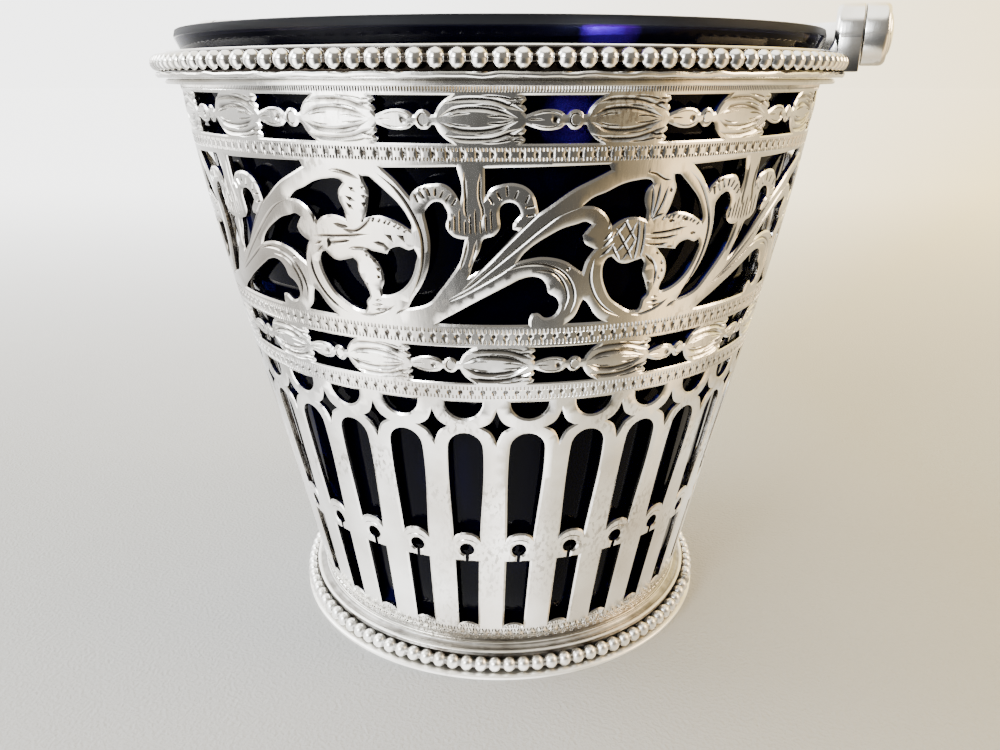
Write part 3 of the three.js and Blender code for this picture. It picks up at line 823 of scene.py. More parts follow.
def borderBand(name, low, high, dotRadii, ticks, long, edge=margin):
    b = borders
    flat = wallRadius((low + high) / 2)
    cell = Cell(turn * flat / b["count"], low - edge, high + edge)
    for k in range(ticks):
        x = cell.wide * (k + 0.5) / ticks
        for foot in (low, high - long) if dotRadii else (low,):
            cell.line([(x, foot), (x, foot + long)], b["tickWide"], b["tickDeep"], grimeAndShade=b["tickGrime"])
    if dotRadii:
        cell.dot((cell.wide / 2, (low + high) / 2), dotRadii, b["dotDeep"])
    wrapped(name, cell, b["count"], flat, 0)


def bandBetween(lower, upper):
    return bands[lower][1] + 2 * margin, bands[upper][0] - 2 * margin


overArcade = bands["arcadeTop"] + margin, bands["lowerHusks"][0] - 2 * margin
borderBand("wall_border_over_arcade", *overArcade, (0.27, 0.36), 3, 0.5)
borderBand("wall_border_under_scrolls", *bandBetween("lowerHusks", "scrolls"), (0.28, 0.38), 3, 0.56)
borderBand("wall_border_over_scrolls", *bandBetween("scrolls", "upperHusks"), (0.27, 0.4), 4, 0.4)
borderBand("wall_ticks_under_rim", bands["upperHusks"][1] + 0.2, wallTop - 0.02, None, 5, 0.75, edge=0.05)

# Scrolls: lines given in degrees round from a palmette's stalk and mm above the band's foot
scrolls = dict(count=4, start=-74.2, drift=3.5, gridWide=46.7, gridTall=15)
scrollOpenings = [
    [(-12.8, 14.7), (-10.8, 13.6), (-8.9, 12.2), (-8.5, 12.6), (-7, 13.2), (-5.4, 13.4), (-3.7, 13.4),
     (-2.5, 12.9), (-1.4, 11.8), (-1.1, 13), (-1.8, 14.9)],
    [(-6.2, 11.4), (-5.4, 11.8), (-4.3, 11.8), (-3.7, 11.4), (-3.3, 10.7), (-3.7, 9.6), (-2.9, 8.8),
     (-1.6, 8.5), (-0.9, 8.5), (-1.2, 7.7), (-1.8, 6.4), (-3.3, 5), (-5, 3.7), (-7, 2.3), (-8.3, 1.9),
     (-11, 1.5), (-10, 2.5), (-8.3, 3.9), (-7, 5.5), (-6.5, 6.8), (-6.3, 8.4), (-6.6, 9.8),
     (-6.8, 10.9)],
    [(2.2, 14.8), (20, 15), (20.4, 14.5), (18.4, 13.9), (15, 12.9), (11.7, 11.5), (10, 10.8),
     (9.8, 11.4), (9.2, 12.5), (8, 13.2), (6.3, 13.5), (4.6, 13.4), (3, 13), (2.2, 12.2)],
    [(4.4, 11.4), (5.2, 11.8), (6.3, 11.8), (7.1, 11.4), (7.5, 10.8), (6.3, 9.9), (6.3, 9.4),
     (7.1, 9.3), (5, 7.9), (3.4, 6.8), (1.3, 5.6), (-0.4, 5), (0.2, 6.2), (1.3, 7.5), (1.9, 8.5),
     (3.4, 8.8), (4.4, 9.6), (4.3, 10.5)],
    [(17.1, 10), (18.2, 9.7), (17.5, 9.2), (16.9, 8.7), (17.3, 8), (19, 7.4), (18.4, 6.95), (17.7, 6.2),
     (17.3, 5.2), (16.3, 5.6), (14.6, 6.3), (12.5, 6.7), (10.5, 6.8), (8.4, 6.6), (7.1, 6.4),
     (7.9, 7.1), (9.6, 8), (11.7, 8.8), (13.8, 9.45), (15.9, 9.8)],
    [(16.5, 11.4), (18.4, 11.3), (20, 10.7), (20.9, 10), (21.4, 9.45), (22.5, 9.9), (24.2, 10.2),
     (25.9, 10.1), (26.8, 9.9), (26.8, 10.7), (26.2, 11.6), (26.3, 12.5), (27.3, 13.2), (26.8, 13.5),
     (24.2, 13.5), (22.1, 13.2), (20, 12.6), (17.9, 12.1)],
    [(30.7, 13.9), (31.7, 13.9), (32.5, 13.5), (34.2, 12.6), (35.9, 11.6), (37.1, 10.5), (37.7, 9.45),
     (37.5, 9.2), (35.9, 9.8), (34.2, 10.2), (32.5, 10.4), (30.2, 10.1), (30.7, 10.7), (31.2, 11.8),
     (31.4, 12.7), (30.9, 13.4)],
    [(37.7, 7.5), (38.2, 6.8), (37.9, 6.2), (37.3, 5.1), (36.3, 4.1), (34.6, 3.2), (32.5, 2.7),
     (31.6, 2.7), (31.5, 3.2), (32.1, 4.1), (32.1, 5), (31.5, 5.9), (30.4, 6.6), (29.6, 7.1),
     (31.7, 6.95), (33.2, 6.8), (33.8, 7.3), (35.4, 7.6), (36.9, 7.3)],
    [(20.7, 5.9), (21.3, 6.5), (21.9, 6.6), (23.4, 5.9), (24.4, 5.8), (25.9, 6), (27.1, 6.2),
     (27.7, 5.8), (27.7, 4.8), (28.4, 3.9), (29.1, 2.9), (29.2, 2.5), (28.4, 1.95), (28.2, 1.15),
     (27.9, 0.9), (26.3, 1), (24.2, 1.7), (22.5, 2.5), (21.3, 3.7), (20.7, 4.8)],
    [(-6.2, 0.1), (-5, 0.6), (-2.9, 1.3), (0, 2.3), (3.4, 3.4), (5.9, 4.2), (7.5, 4.7), (9.6, 4.95),
     (10.9, 4.7), (11.7, 4.1), (12.1, 3.3), (13.2, 2.9), (13.9, 2.3), (13.8, 1.5), (12.9, 0.9),
     (11.7, 0.8), (10.5, 1.3), (9.5, 1.2), (9.1, 0.6), (9.1, 0.1)],
    [(15.4, 0.1), (16.7, 0.8), (17.7, 2.3), (17.9, 2.5), (18.6, 2.2), (20, 1), (21.5, 0.2), (22, 0.05)],
]
scrollLines = [
    [(-1.8, 3.5), (1.7, 5.7), (6.2, 8.5), (10.2, 10.9), (14.2, 12.8), (19, 14)],
    [(16.3, 11.3), (13.2, 10.6), (10.2, 9.3), (6.7, 7.5), (2.7, 5.5), (-0.8, 3.8), (-4, 2.6)],
    [(7.1, 6.3), (3.2, 4.8), (-0.8, 3.4), (-3.8, 2.4)],
    [(5.2, 5.5), (8.4, 6.1), (11.6, 6), (14.3, 5.2), (15.9, 3.9), (16.4, 2.4), (15.9, 1.2)],
    [(9.7, 5.5), (12.6, 5.3), (14.4, 4.2), (15.2, 2.8), (14.8, 1.5)],
    [(32.9, 14.3), (35.7, 12.9), (37.8, 11), (39.1, 8.8), (39, 6.3), (37.8, 4.1), (35.9, 2.2)],
    [(19, 6.4), (18.7, 4.6), (19.8, 2.8), (21.8, 1.4), (24.7, 0.4)],
    [(33.6, 1.8), (31.2, 0.9), (28.7, 0.5), (26.7, 0.5)],
    [(19.9, 11.3), (20.9, 10.3), (20.8, 9.2)],
    [(-0.7, 14.5), (-0.6, 12.4), (-0.6, 10.7), (0.2, 9.8)],
    [(1.6, 14.4), (1.4, 12.2), (1.9, 10.8), (1.4, 9.8)],
    [(-0.4, 8.5), (-0.9, 7.1), (-1.8, 5.6)],
    [(0.9, 8.5), (0.4, 7.1), (-0.5, 5.6)],
    [(33.4, 0.8), (34.5, 1.2), (35.5, 1.5)],
    [(30, 2.1), (30.7, 2.15), (31.4, 2.1)],
    [(29.3, 1.6), (30.4, 1.65), (31.6, 1.7)],
    [(29.8, 1.15), (31.2, 1.2), (32.4, 1.4)],
]
# Flowers alternate: one with a latticed fruit, the other with long veins and wedge cuts
latticedFlower = [
    [(25.6, 10.1), (25.9, 8), (25.7, 5.9)],
    [(26.6, 9.9), (26.9, 8), (26.7, 6)],
    [(22.1, 6.8), (23.9, 8), (25.4, 9.8)],
    [(21.7, 8.4), (22.9, 9.3), (23.8, 10)],
    [(23.5, 6.1), (24.8, 7.2), (25.6, 8.3)],
    [(22, 9.3), (23.4, 8), (25.3, 6.2)],
    [(23.2, 10.1), (24.2, 9.1), (25.6, 7.9)],
    [(21.6, 7.8), (22.4, 6.9), (23.3, 6.1)],
    [(26.3, 14.6), (26.2, 14.2), (27.6, 14), (29, 13.5), (30.2, 13.4)],
    [(27.6, 9.8), (27.5, 11.5), (27.2, 13)],
    [(27.8, 9.8), (28.3, 11.6), (28.4, 13.3)],
    [(28, 9.8), (29.2, 11.3), (29.8, 12.9)],
    [(27.5, 9.8), (28.6, 10.1), (29.8, 10.4)],
    [(27, 8.5), (31, 8.6), (34.7, 8.9)],
    [(27, 8.1), (31, 8), (33.2, 8.2)],
    [(27, 7.6), (30, 7.4), (31.5, 7.5)],
    [(27.4, 6.7), (28.6, 6), (29.8, 5.4)],
    [(28.3, 6.5), (29.9, 5.1), (30.1, 3.2)],
    [(19.8, 6.6), (21, 7.2), (22, 7.9)],
    [(20, 7.4), (21, 8), (21.8, 8.6)],
    [(20.2, 8.1), (21, 8.6), (21.5, 9)],
]
veinedFlower = [
    [(19.9, 8), (25.1, 8.2), (30.8, 8.6)],
    [(22.8, 7.5), (25, 7.6), (27.2, 7.9)],
    [(26.1, 8.9), (28.2, 8.8), (30.3, 9.6), (31.3, 10.3)],
    [(24.5, 9.4), (26.2, 9.2), (27.4, 9.1)],
    [(31.1, 7.9), (32.9, 7.7), (33.8, 7.3)],
    [(33.2, 8.7), (34.1, 8.5), (34.6, 7.9)],
    [(35.2, 8.7), (36.1, 8.5), (36.5, 8)],
    [(26.6, 7.1), (29.3, 7.2), (31.5, 6.8)],
    [(30.6, 6.4), (31, 6.1), (31.5, 5.9)],
    [(31, 5.5), (31.4, 5.3), (31.8, 5.2)],
    [(31, 4.7), (31.3, 4.5), (31.7, 4.4)],
    [(20, 7.1), (21, 7.4), (21.9, 7.6)],
    [(20.2, 6.4), (21.1, 6.9), (21.9, 7.2)],
    [(23, 8), (23.1, 7.3), (22.6, 6.9)],
    [(27.4, 12.1), (28.3, 11.8), (29.2, 11.6)],
    [(27.4, 11.5), (28.1, 11.1), (28.7, 10.8)],
    [(28.2, 12.9), (28.8, 12.7), (29.4, 12.4)],
    [(30.2, 13), (30.6, 12.9), (31, 12.7)],
    [(30.1, 12.2), (30.6, 12.1), (31, 12)],
    [(30, 11.5), (30.4, 11.4), (30.8, 11.3)],
    [(25.2, 14.3), (26.6, 14.3), (28.7, 14), (30.3, 13.6)],
]


def hatch(line, count, long, lean=0):
    # Short strokes set across a line at even steps.
    curve = smoothed(line, False, step=0.2)
    normal = sideways(curve, False)
    strokes = []
    for k in range(count):
        i = round((len(curve) - 1) * (k + 0.5) / count)
        across = normal[i] * long / 2
        slide = np.array([normal[i][1], -normal[i][0]]) * lean
        strokes.append([tuple(curve[i] - across - slide), tuple(curve[i] + across + slide)])
    return strokes


# More of a motif: rows of hatching as (points, strokes, length, lean), rays over the palmette,
# and punched dots as (places, radii, depth, corners)
motif = dict(
    hatches=(
        (((-8.2, 12), (-5, 12.7), (-2, 11.7)), 7, 0.9, 0),
        (((2.5, 11.8), (5.4, 12.8), (8.6, 12), (9, 10.3)), 7, 0.9, 0),
        (((29.5, 9.9), (32, 10), (34.5, 9.7), (37, 9)), 9, 0.45, 0.12),
    ),
    dots=(((-8, 12.4), (-7.3, 12.9), (-6.5, 13), (29, 3.7), (29.8, 6.6), (15, 5.6)), (0.2, 0.2), 0.1, 7),
    latticedDots=(
        (((30.9, 5.6), (31.2, 4.8), (30.8, 4.1), (30.4, 12.5)), (0.17, 0.27), 0.12, 8),
        (((31.4, 9.6), (34, 9.6), (36, 8.2), (31.9, 7.1)), (0.42, 0.17), 0.14, 10),
    ),
    rays=9,
)


def dotted(cell, at, places, radii, deep, corners):
    for place in places:
        cell.dot(at(place), radii, deep, corners)


def scrollMotif(cell, at, flower, wide, deep):
    for outline in scrollOpenings:
        cell.opening([at(p) for p in outline], step=0.28)
    for line in scrollLines:
        cell.line([at(p) for p in line], 0.34, 0.15, step=0.45)
    for line in flower:
        cell.line([at(p) for p in line], wide, deep, step=0.45, grimeAndShade=0.9)
    for k in range(motif["rays"]):
        x = -3.2 + 0.8 * k
        foot, tip = 8.75 + 0.1 * abs(k - 4), 10.3 + 0.5 * (k % 3)
        cell.line([at((x, foot)), at((x * 0.95, tip))], 0.2, 0.1)
    for points, *how in motif["hatches"]:
        for stroke in hatch([at(p) for p in points], *how):
            cell.line(stroke, 0.26, 0.13)
    dotted(cell, at, *motif["dots"])


def scrollBand():
    s = scrolls
    low, high = bands["scrolls"]
    flat = wallRadius((low + high) / 2)
    cell = Cell(turn * flat / s["count"], low - margin, high + margin)
    scale = cell.wide / (2 * s["gridWide"])

    def placed(shift):
        return lambda p: ((p[0] + shift) * scale, low + p[1] * (high - low) / s["gridTall"])

    scrollMotif(cell, placed(0), latticedFlower, 0.32, 0.15)
    scrollMotif(cell, placed(s["gridWide"]), veinedFlower, 0.44, 0.19)
    for row in motif["latticedDots"]:
        dotted(cell, placed(0), *row)
    wrapped("wall_scrolls", cell, s["count"], flat, s["start"], s["drift"])


scrollBand()
print("wall done")

# Beads of the rim and the foot, in mm; their sides are clean and unshaded up to a share of the bead's
# radius, and painted dark with shade past it
rimBeads = dict(
    radius=40, height=69.05, bead=0.85, tall=1.01, count=143, wire=0.4, grimeAndShade=0.9, cleanUnshaded=0.7,
)
footBeads = dict(
    radius=28.05, height=1.68, bead=0.83, tall=1.08, count=101, wire=0.5, grimeAndShade=0.62, cleanUnshaded=0.84,
)
beadRow = beadTree()


def beadPiece(name, node, b, beads, first, silver=brightSilver):
    values = {
        "Beads": beads,
        "Ring Radius": (b["radius"] - b["bead"]) * mm,
        "Height": b["height"] * mm,
        "Bead Radius": b["bead"] * mm,
        "Bead Tall": b["tall"],
        "From": first,
        "Step": turn / b["count"],
        "Wire Radius": b["wire"] * mm,
        "Wire Shade And Grime": b["grimeAndShade"],
        "Clean Unshaded Share": b["cleanUnshaded"],
        "Material": silver,
    }
    mesh = grown(name, bpy.data.meshes.new(name + "Start"), beadRow, values)
    dressed(name, mesh, "pail", node, 60)


def beadSeat(b, gap):
    # Radius of the seat that a row of beads stands against.
    return b["radius"] - 2 * b["bead"] + gap


ears = dict(radius=3.1, clear=0.3, lugThick=2.72, gap=0.12, eyeThick=2.45, pin=1.1, dome=(0.5, 2.15))
freeAngle = 2 * math.asin((ears["radius"] + ears["clear"]) / (rimBeads["radius"] - rimBeads["bead"]))
rimLength = math.floor(rimBeads["count"] * (math.pi - freeAngle) / turn)
for side, node in ((-1, "rim_bead_wire_front"), (1, "rim_bead_wire_back")):
    first = side * math.pi / 2 - math.pi * (rimLength - 1) / rimBeads["count"]
    beadPiece(node.replace("_wire", "s"), node, rimBeads, rimLength, first)
beadPiece("foot_beads", "foot_bead_wire", footBeads, footBeads["count"] + 1, 0, footSilver)

# Rim collar: a cap over the wall's edge, the beads' seat, a wavy flange and a cove under it.
# Its flange ripples by waves of (count, height, shift) and is worn down a little.
rimMoulding = dict(
    beadGap=0.3, cap=0.8, gap=0.1, waves=((41, 0.06, 0), (67, 0.05, 1), (103, 0.04, 2)), worn=0.04,
)


def rimCollar():
    m, name = rimMoulding, "rim_collar_turned"
    low, high = (corner.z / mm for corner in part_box("rim_collar"))
    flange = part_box("rim_collar")[1].x / mm
    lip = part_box("rim_bead_wire_front")[0].z / mm - m["beadGap"]
    inner, skirt = coneRadius(high) - m["cap"], wallRadius(low) + m["gap"]
    seat = beadSeat(rimBeads, m["gap"])
    # The third values paint shade in the cove under the flange, on the flange under the beads and on the
    # beads' seat; they also darken the cap towards its inner edge.
    profile = [
        (skirt, low), (flange - 1.05, low), (flange - 0.93, low + 0.08), (flange - 0.9, low + 0.25),
        (flange - 0.98, low + 0.42), (flange - 1.25, low + 0.52, 0.4), (flange - 1.25, low + 0.6, 0.4),
        (flange - 0.5, low + 0.62, 0.2), (flange - 0.14, low + 0.68), (flange, low + 0.8),
        (flange + 0.02, lip - 0.2), (flange - 0.05, lip - 0.06), (flange - 0.16, lip, 0.7),
        (seat + 0.5, lip, 1), (seat, lip, 1), (seat, high - 0.3, 1), (seat, high - 0.1), (seat - 0.1, high),
        (inner + 0.4, high, 0.5), (inner + 0.12, high, 0.6), (inner, high - 0.12, 0.8),
        (inner, wallTop + 0.1), (wallRadius(wallTop) + 0.1, wallTop + 0.1),
    ]

    def wave(angle, radius, height):
        reach = np.clip((radius - flange + 0.5) / 0.5, 0, 1) * (height > low + 0.61)
        ripple = sum(tall * math.sin(count * angle + shift) for count, tall, shift in m["waves"])
        return radius + reach * (0.5 * ripple - m["worn"]), height + reach * 0.7 * ripple

    mesh = turnedMesh(name, profile, 360, wave)
    dressed(name, mesh, "pail", "rim_collar", 30, brightSilver)


rimCollar()

# Foot collar: a thin flange on the table, the beads' seat, a fine ridge and a cove
footMoulding = dict(
    settle=0.2, gap=0.12, wallGap=0.15, ridge=2.85, ridgeSize=(0.28, 0.17), coveSize=(0.75, 0.45), dirtAndShade=0.62,
)


def footCollar():
    m, name = footMoulding, "foot_collar_turned"
    high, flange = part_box("foot_collar")[1].z / mm - m["settle"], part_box("foot_collar")[1].x / mm
    seat, inner, ridge = beadSeat(footBeads, m["gap"]), wallRadius(wallFoot) + m["wallGap"], m["ridge"]
    # The third values paint shade on the beads' seat and in the cove against the wall.
    profile = [
        (inner, 0), (flange - 0.1, 0), (flange, 0.08), (flange, 0.36), (flange - 0.1, 0.46),
        (seat + 1.1, 0.56), (seat + 0.1, 0.66, 0.6), (seat, 0.8, 0.7), (seat, ridge - 0.5, 0.75),
        (seat - 0.2, ridge - 0.2, 0.75),
        *arcPoints((seat - 0.15, ridge), m["ridgeSize"], -80, 85, 6),
        *[(*p, m["dirtAndShade"]) for p in arcPoints((seat - 0.3, high + 0.05), m["coveSize"], 262, 195, 5)],
        (wallRadius(high) + 0.05, high), (inner - 0.05, wallFoot),
    ]
    dressed(name, turnedMesh(name, profile, 240), "pail", "foot_collar", 30, footSilver)


footCollar()
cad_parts["base_plate"].data.materials.clear()
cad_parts["base_plate"].data.materials.append(castSilver)

# Glass liner: slightly uneven, flared at its ground rim, with waves of (count, shift)
glass = dict(
    wall=2.2, floor=4.0, fit=1.15, shoulder=69.8, flareTall=1.2, flare=0.4,
    waves=((23, 0), (11, 1)), wavy=0.03,
)


def glassLiner():
    g, name = glass, "glass_liner_blown"
    low, high = (corner.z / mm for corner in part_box("glass_liner"))

    def outer(height, inset=0):
        share = min(1, max(0, (height - g["shoulder"]) / g["flareTall"]))
        return coneRadius(height) - g["fit"] + g["flare"] * share - inset

    def inner(height, inset=0):
        return outer(height, g["wall"] + inset)

    base, shoulder = low + g["floor"], g["shoulder"]
    steps = [low + (high - low) * k / 8 for k in range(1, 8)]
    profile = [
        (0, low), (outer(low, 1.2), low), (outer(low, 0.35), low + 0.25), (outer(low + 1), low + 1),
        *[(outer(height), height) for height in steps],
        (outer(shoulder), shoulder), (outer(high - 1), high - 1), (outer(high - 0.65, 0.02), high - 0.65),
        (outer(high, 0.3), high - 0.08), (outer(high, 0.45), high), (inner(high, -0.2), high),
        (inner(high), high - 0.2), *[(inner(height), height) for height in steps[:0:-1]],
        (inner(base + 2.5), base + 2.5), (inner(base, 0.8), base + 0.7), (inner(base, 3), base), (0, base),
    ]

    def wave(angle, radius, height):
        side = np.clip(radius / outer(low), 0, 1) ** 4 * np.clip((high - 1.2 - height) / 2, 0, 1)
        ripple = sum(math.sin(count * angle + shift) for count, shift in g["waves"]) - 1
        return radius + side * g["wavy"] * ripple, height

    mesh = turnedMesh(name, profile, 256, wave)
    dressed(name, mesh, "liner", "glass_liner", 40, glassBlue)


glassLiner()

# Ears: lugs on the rim, the bail's round eyes and the rivets between them, in mm along the hinge line
pivot = (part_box("rivet_right")[0].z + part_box("rivet_right")[1].z) / 2 / mm
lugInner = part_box("lug_right")[1].x / mm - 2.5
lugOuter = lugInner + ears["lugThick"]
eyeInner = lugOuter + ears["gap"]
eyeOuter = eyeInner + ears["eyeThick"]


def hingeTurned(name, profile, corners, side, dirtAndShade):
    # A profile of (place along X, radius) turned about the hinge line.
    points, faces = [], []
    count = len(profile)
    for i in range(corners):
        angle = turn * i / corners
        points += [(side * x, r * math.cos(angle), pivot + r * math.sin(angle)) for x, r in profile]
        ahead = (i + 1) % corners * count
        faces += [(i * count + k, i * count + k + 1, ahead + k + 1, ahead + k) for k in range(count - 1)]
    return outwards(meshFrom(name, points, faces, dirtAndShade * corners))


def discMesh(name, start, end, soft, side, shadedEnd):
    # A disc with rounded edges; the end that faces another piece is painted dark as shade in the gap between
    # them: 0 the inner, 1 the outer one.
    low, high = (ears["radius"] - size for size in soft)
    first = arcPoints((start + soft[0], low), (soft[0], soft[0]), 180, 90, 4)
    last = arcPoints((end - soft[1], high), (soft[1], soft[1]), 90, 0, 4)
    profile = [(start, 0), *first, *last, (end, 0)]
    dirtAndShade = [0.9] * 4 + [0.0] * (len(profile) - 4)
    return hingeTurned(name, profile, 56, side, dirtAndShade[::-1] if shadedEnd else dirtAndShade)


def joinedMeshes(name, meshes):
    shape = bmesh.new()
    for mesh in meshes:
        shape.from_mesh(mesh)
    result = bpy.data.meshes.new(name)
    shape.to_mesh(result)
    shape.free()
    return result


def blockMesh(name, outline, half, side=1, bevel=0.25):
    # A block across the ear from an outline of (x, z), with rounded edges.
    shape = bmesh.new()
    rows = [[shape.verts.new((side * x * mm, y * mm, z * mm)) for x, z in outline] for y in (-half, half)]
    shape.faces.new(rows[0])
    shape.faces.new(rows[1][::-1])
    for k in range(len(outline)):
        a, b = k, (k + 1) % len(outline)
        shape.faces.new((rows[0][b], rows[0][a], rows[1][a], rows[1][b]))
    bmesh.ops.recalc_face_normals(shape, faces=shape.faces)
    bmesh.ops.bevel(shape, geom=shape.edges[:], offset=bevel * mm, segments=3, profile=0.5, affect="EDGES")
    mesh = bpy.data.meshes.new(name)
    shape.to_mesh(mesh)
    shape.free()
    return mesh


def lugPiece(node, side):
    name = node + "_filed"
    foot, seat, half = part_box("lug_right")[0].z / mm, beadSeat(rimBeads, 0.12), ears["radius"]
    disc = discMesh(node + "Disc", lugInner, lugOuter, (0.65, 0.12), side, 1)
    face = lugOuter - 0.02
    outline = [(seat, foot - 0.25), (face, foot - 0.25), (face, pivot), (seat, pivot)]
    stem = blockMesh(node + "Stem", outline, half - 0.02, side, 0.12)
    outline = [(-0.95, foot + 1.1), (2.2, foot + 1.1), (2.2, pivot), (0.1, pivot)]
    outline += [(-0.1, pivot - 0.9), (-0.5, pivot - 1.6)]
    spread = blockMesh(node + "Foot", [(lugInner + x, z) for x, z in outline], half - 0.3, side, 0.2)
    mesh = joinedMeshes(name, (disc, stem, spread))
    # Painted shade: the lug is painted darker towards its foot on the rim.
    dirtAndShade = mesh.attributes["grimeAndShade"].data
    for vertex in mesh.vertices:
        low = (foot + 2.4 - vertex.co.z / mm) * 0.4
        dirtAndShade[vertex.index].value = max(dirtAndShade[vertex.index].value, min(0.6, low))
    dressed(name, mesh, "pail", node, 40, castSilver)


def rivetPiece(node, side):
    name, start, seat = node + "_domed", lugInner + 0.3, eyeOuter - 0.05
    dome = arcPoints((seat, 0), ears["dome"], 90, 0, 8)
    profile = [(start, 0), (start, ears["pin"]), (seat, ears["pin"]), *dome[:-1], (dome[-1][0], 0)]
    # Painted shade: the pin's shank, seen in the gap between lug and eye, is painted dark.
    dirtAndShade = [float(k in (2, 3)) for k in range(len(profile))]
    mesh = hingeTurned(name, profile, 40, side, dirtAndShade)
    dressed(name, mesh, "pail", node, 50, brightSilver)


for side, word in ((1, "right"), (-1, "left")):
    lugPiece("lug_" + word, side)
    rivetPiece("rivet_" + word, side)

# Bail: a strap that widens towards its crown and lies on the beads, with a round eye at each end
bail = dict(endWide=3.2, crownWide=4.6, thick=1.5, inset=0.77, rest=1.17, softOut=0.45, softIn=0.2, steps=96)


def bailPiece():
    b = bail
    steps, halfCrown = b["steps"], b["crownWide"] / 2
    reachX, crown = (eyeInner + eyeOuter) / 2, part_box("bail_handle")[1].y / mm - b["inset"]
    drop = rimBeads["height"] + b["rest"] - pivot
    tilt = math.asin(drop / math.hypot(crown, halfCrown)) + math.atan2(halfCrown, crown)
    rise, level = math.sin(tilt), math.cos(tilt)
    section = []
    for start, cx, cy in ((0, 1, 1), (90, -1, 1), (180, -1, -1), (270, 1, -1)):
        section += [(cx, cy, ox, oy) for ox, oy in arcPoints((0, 0), (1, 1), start, start + 90, 3)]
    points, faces = [], []
    count = len(section)
    for i in range(steps + 1):
        cosine, sine = math.cos(math.pi * i / steps), math.sin(math.pi * i / steps)
        wide = (b["endWide"] + (b["crownWide"] - b["endWide"]) * sine) / 2
        normal = np.array([cosine / reachX, sine / crown])
        normal /= np.hypot(*normal)
        for cx, cy, ox, oy in section:
            soft = b["softOut"] if cx > 0 else b["softIn"]
            out = cx * (b["thick"] / 2 - soft) + ox * soft
            across = cy * (wide - soft) + oy * soft
            x, y = np.array([reachX * cosine, crown * sine]) + out * normal
            points.append((x, y * level - across * rise, pivot + y * rise + across * level))
    for i in range(steps):
        for k in range(count):
            a, b = i * count + k, i * count + (k + 1) % count
            faces.append((a, b, b + count, a + count))
    faces += [tuple(range(count)), tuple(range(steps * count, (steps + 1) * count))[::-1]]
    eyes = [discMesh("eye", eyeInner, eyeOuter, (0.12, 0.6), side, 0) for side in (1, -1)]
    mesh = joinedMeshes("bail_swept", (outwards(meshFrom("strap", points, faces)), *eyes))
    dressed("bail_swept", mesh, "handle", "bail_handle", 40, castSilver)


bailPiece()
print("rim, foot, glass and bail done")

# Studio: a pale cloth under a bright room behind the pail, a dim room in front of it
studio = dict(
    cloth=(0.35, 0.35, 0.342),
    clothPaintedWarmRight=(0.32, 0.293, 0.21),
    behind=(4.2, 4.2, 4.15),
    behindRight=(3.1, 2.42, 1.12),
    overhead=(3.6, 3.5, 3.2),
    room=(0.3, 0.28, 0.25),
    reflectedClothClose=(
        (0.28, 0.5), (0.42, 0.95), (0.5, 1.3), (0.555, (0.48, 0.445, 0.37)), (0.7, (0.37, 0.32, 0.24)),
        (0.85, (0.42, 0.4, 0.35)),
    ),
    reflectedClothNear=((0.31, 1.0), (0.44, 0.0)),
    reflectedClothRound=(
        (0.0, 0.3), (0.17, 0.16), (0.285, 0.07), (0.34, 0.9), (0.39, 0.75), (0.43, 0.1), (0.46, 0.012),
        (0.55, 0.012), (0.59, (0.034, 0.028, 0.018)), (0.635, (0.075, 0.058, 0.033)),
        (0.665, (0.36, 0.25, 0.125)), (0.7, (0.27, 0.205, 0.12)), (0.76, (0.12, 0.095, 0.06)),
        (0.85, (0.12, 0.1, 0.066)),
    ),
    windowRound=((0.28, 0.0), (0.33, 1.0), (0.4, 1.0), (0.44, 0.0)),
    windowHigh=((0.08, 0.0), (0.2, 1.0), (0.6, 1.0), (0.75, 0.0)),
    windowGlow=(9, 9.4, 9.8),
    lights=dict(
        key=dict(place=(-0.62, 0.1, 0.42), size=0.4, power=5, colour=(0.96, 0.98, 1)),
        window=dict(place=(-0.36, -0.45, 0.24), size=0.13, power=3.0, colour=(0.93, 0.97, 1)),
        lamp=dict(place=(0.5, -0.06, 0.26), size=0.26, power=3.5, colour=(1, 0.74, 0.44)),
    ),
)
studioTurn = math.radians(camera["azimuth"])


def seenFrom(right, away, up):
    # A place or direction given as the photograph shows it, in metres.
    c, s = math.cos(studioTurn), math.sin(studioTurn)
    return Vector((right * c - away * s, right * s + away * c, up))


def along(tree, place, *axis):
    return vectorMaths(tree, "DOT_PRODUCT", place, seenFrom(*axis), result="Value")


def flatDirection(tree, place):
    # The level part of a direction, made one unit long.
    return vectorMaths(tree, "NORMALIZE", vectorMaths(tree, "MULTIPLY", place, (1, 1, 0)))


def roomColour(tree, place):
    # Pale behind the pail, warmer to the right, dim in front: by direction round the pail.
    level = flatDirection(tree, place)
    away, right = (along(tree, level, *axis) for axis in ((0, 1, 0), (1, 0, 0)))
    away = ramp(tree, maths(tree, "MULTIPLY_ADD", away, 0.5, 0.5), (0.3, 0.0), (0.72, 1.0))
    right = ramp(tree, maths(tree, "MULTIPLY_ADD", right, 0.5, 0.5), (0.45, 0.0), (0.8, 1.0))
    return mixed(tree, away, studio["room"], mixed(tree, right, studio["behind"], studio["behindRight"]))


def bearingOf(tree, level):
    # 0.5 towards the viewer, less to the left and more to the right.
    toViewer = product(tree, along(tree, level, 0, 1, 0), -1)
    angle = maths(tree, "ARCTAN2", along(tree, level, 1, 0, 0), toViewer)
    return maths(tree, "MULTIPLY_ADD", angle, 1 / turn, 0.5)


def sheetObject(name, height, material):
    bpy.ops.mesh.primitive_circle_add(vertices=96, radius=6, fill_type="NGON", location=(0, 0, height))
    sheet = bpy.context.object
    sheet.name = name
    sheet.data.materials.append(material)
    return sheet


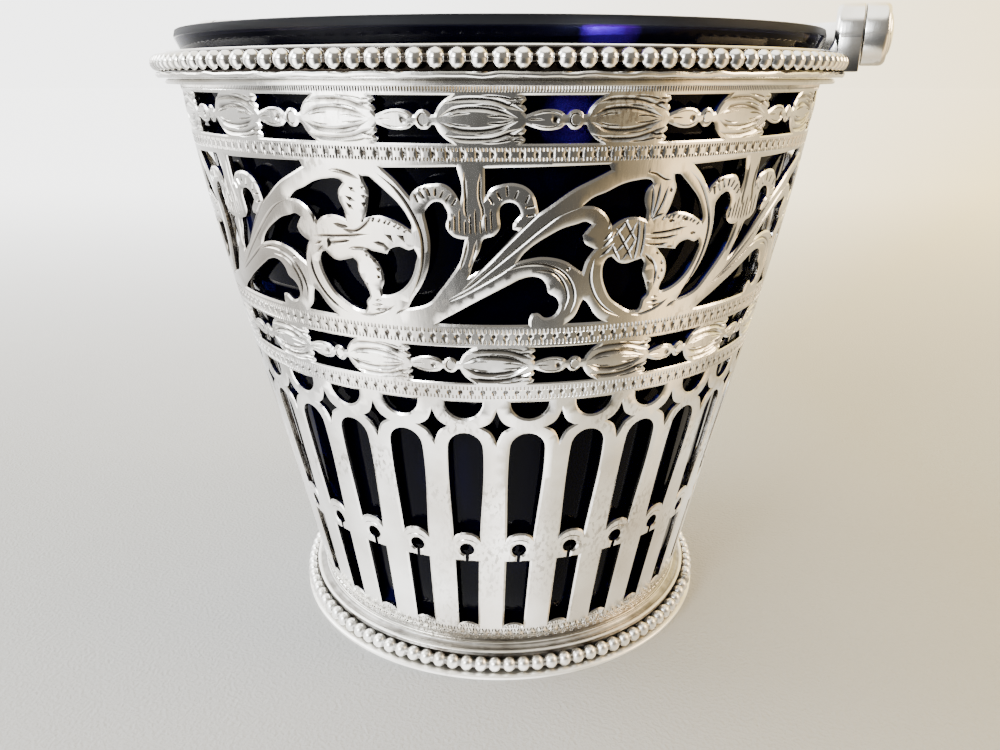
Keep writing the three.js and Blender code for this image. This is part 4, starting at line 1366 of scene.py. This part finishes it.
def clothFloor():
    # The cloth glows faintly with the room's own colour far off, so that no horizon shows.
    material, tree, shader, place = newMaterial("paleCloth")
    darker = tuple(0.94 * c for c in studio["cloth"])
    tint = mixed(tree, noise(tree, place, 40, 3), studio["cloth"], darker)
    # Painted light and shade: the cloth is painted warmer and darker to the right, as warm lamplight and
    # shade there.
    warm = ramp(tree, product(tree, along(tree, place, 1, 0, 0), 5), (0.02, 0.0), (0.37, 1.0))
    tint = mixed(tree, warm, tint, studio["clothPaintedWarmRight"])
    far = rising(tree, along(tree, place, 0, 1, 0), -0.02, 0.47, "SMOOTHSTEP")
    fed(tree, shader, {
        "Base Color": mixed(tree, maths(tree, "SUBTRACT", 1, far), (0.0, 0.0, 0.0), tint),
        "Emission Color": roomColour(tree, place),
        "Emission Strength": far,
        "Roughness": 0.9,
        "Specular IOR Level": 0.1,
    })
    bumped(tree, shader, noise(tree, place, 2200, 2), 0.0002)
    sheetObject("floor", 0, material).visible_glossy = False


def areaLight(name, look):
    data = bpy.data.lights.new(name, "AREA")
    data.energy = look["power"]
    data.color = look["colour"]
    data.size = look["size"]
    light = bpy.data.objects.new(name, data)
    bpy.context.scene.collection.objects.link(light)
    light.location = seenFrom(*look["place"])
    light.rotation_euler = (light.location - Vector((0, 0, 0.04))).to_track_quat("Z", "Y").to_euler()


def studioWorld():
    # The room by direction: its walls, a window in front on the left, and the ceiling.
    world = bpy.data.worlds.new("studio")
    bpy.context.scene.world = world
    world.use_nodes = True
    tree = world.node_tree
    direction = added(tree, "ShaderNodeTexCoord").outputs["Generated"]
    bearing = bearingOf(tree, flatDirection(tree, direction))
    height = along(tree, direction, 0, 0, 1)
    looks = ((bearing, "windowRound"), (height, "windowHigh"))
    glow = product(tree, *[ramp(tree, place, *studio[key]) for place, key in looks])
    above = mixed(tree, glow, roomColour(tree, direction), studio["windowGlow"])
    above = mixed(tree, ramp(tree, height, (0.76, 0.0), (0.9, 1.0)), above, studio["overhead"])
    fed(tree, tree.nodes["Background"], {"Color": above})


def paintedClothReflection():
    # A glowing sheet that only the silver sees, painted as the cloth's reflection: bright by the pail, and
    # dimmer further out in front.
    material, tree, shader, place = newMaterial("paintedClothReflection")
    far = vectorMaths(tree, "LENGTH", place, result="Value")
    close = ramp(tree, product(tree, far, 5), *studio["reflectedClothNear"])
    bearing = bearingOf(tree, flatDirection(tree, place))
    looks = []
    for key, strength in (("reflectedClothRound", 8), ("reflectedClothClose", 4)):
        inputs = {0: ramp(tree, bearing, *studio[key]), "Scale": strength}
        looks.append(added(tree, "ShaderNodeVectorMath", inputs, operation="SCALE").outputs[0])
    fed(tree, shader, {
        "Base Color": (0, 0, 0, 1),
        "Emission Color": mixed(tree, close, *looks),
        "Emission Strength": 1,
    })
    cloth = sheetObject("paintedClothReflection", -0.0005, material)
    for kind in ("camera", "diffuse", "transmission", "shadow"):
        setattr(cloth, "visible_" + kind, False)


clothFloor()
for name, look in studio["lights"].items():
    areaLight(name, look)
studioWorld()
paintedClothReflection()
bpy.context.view_layer.update()
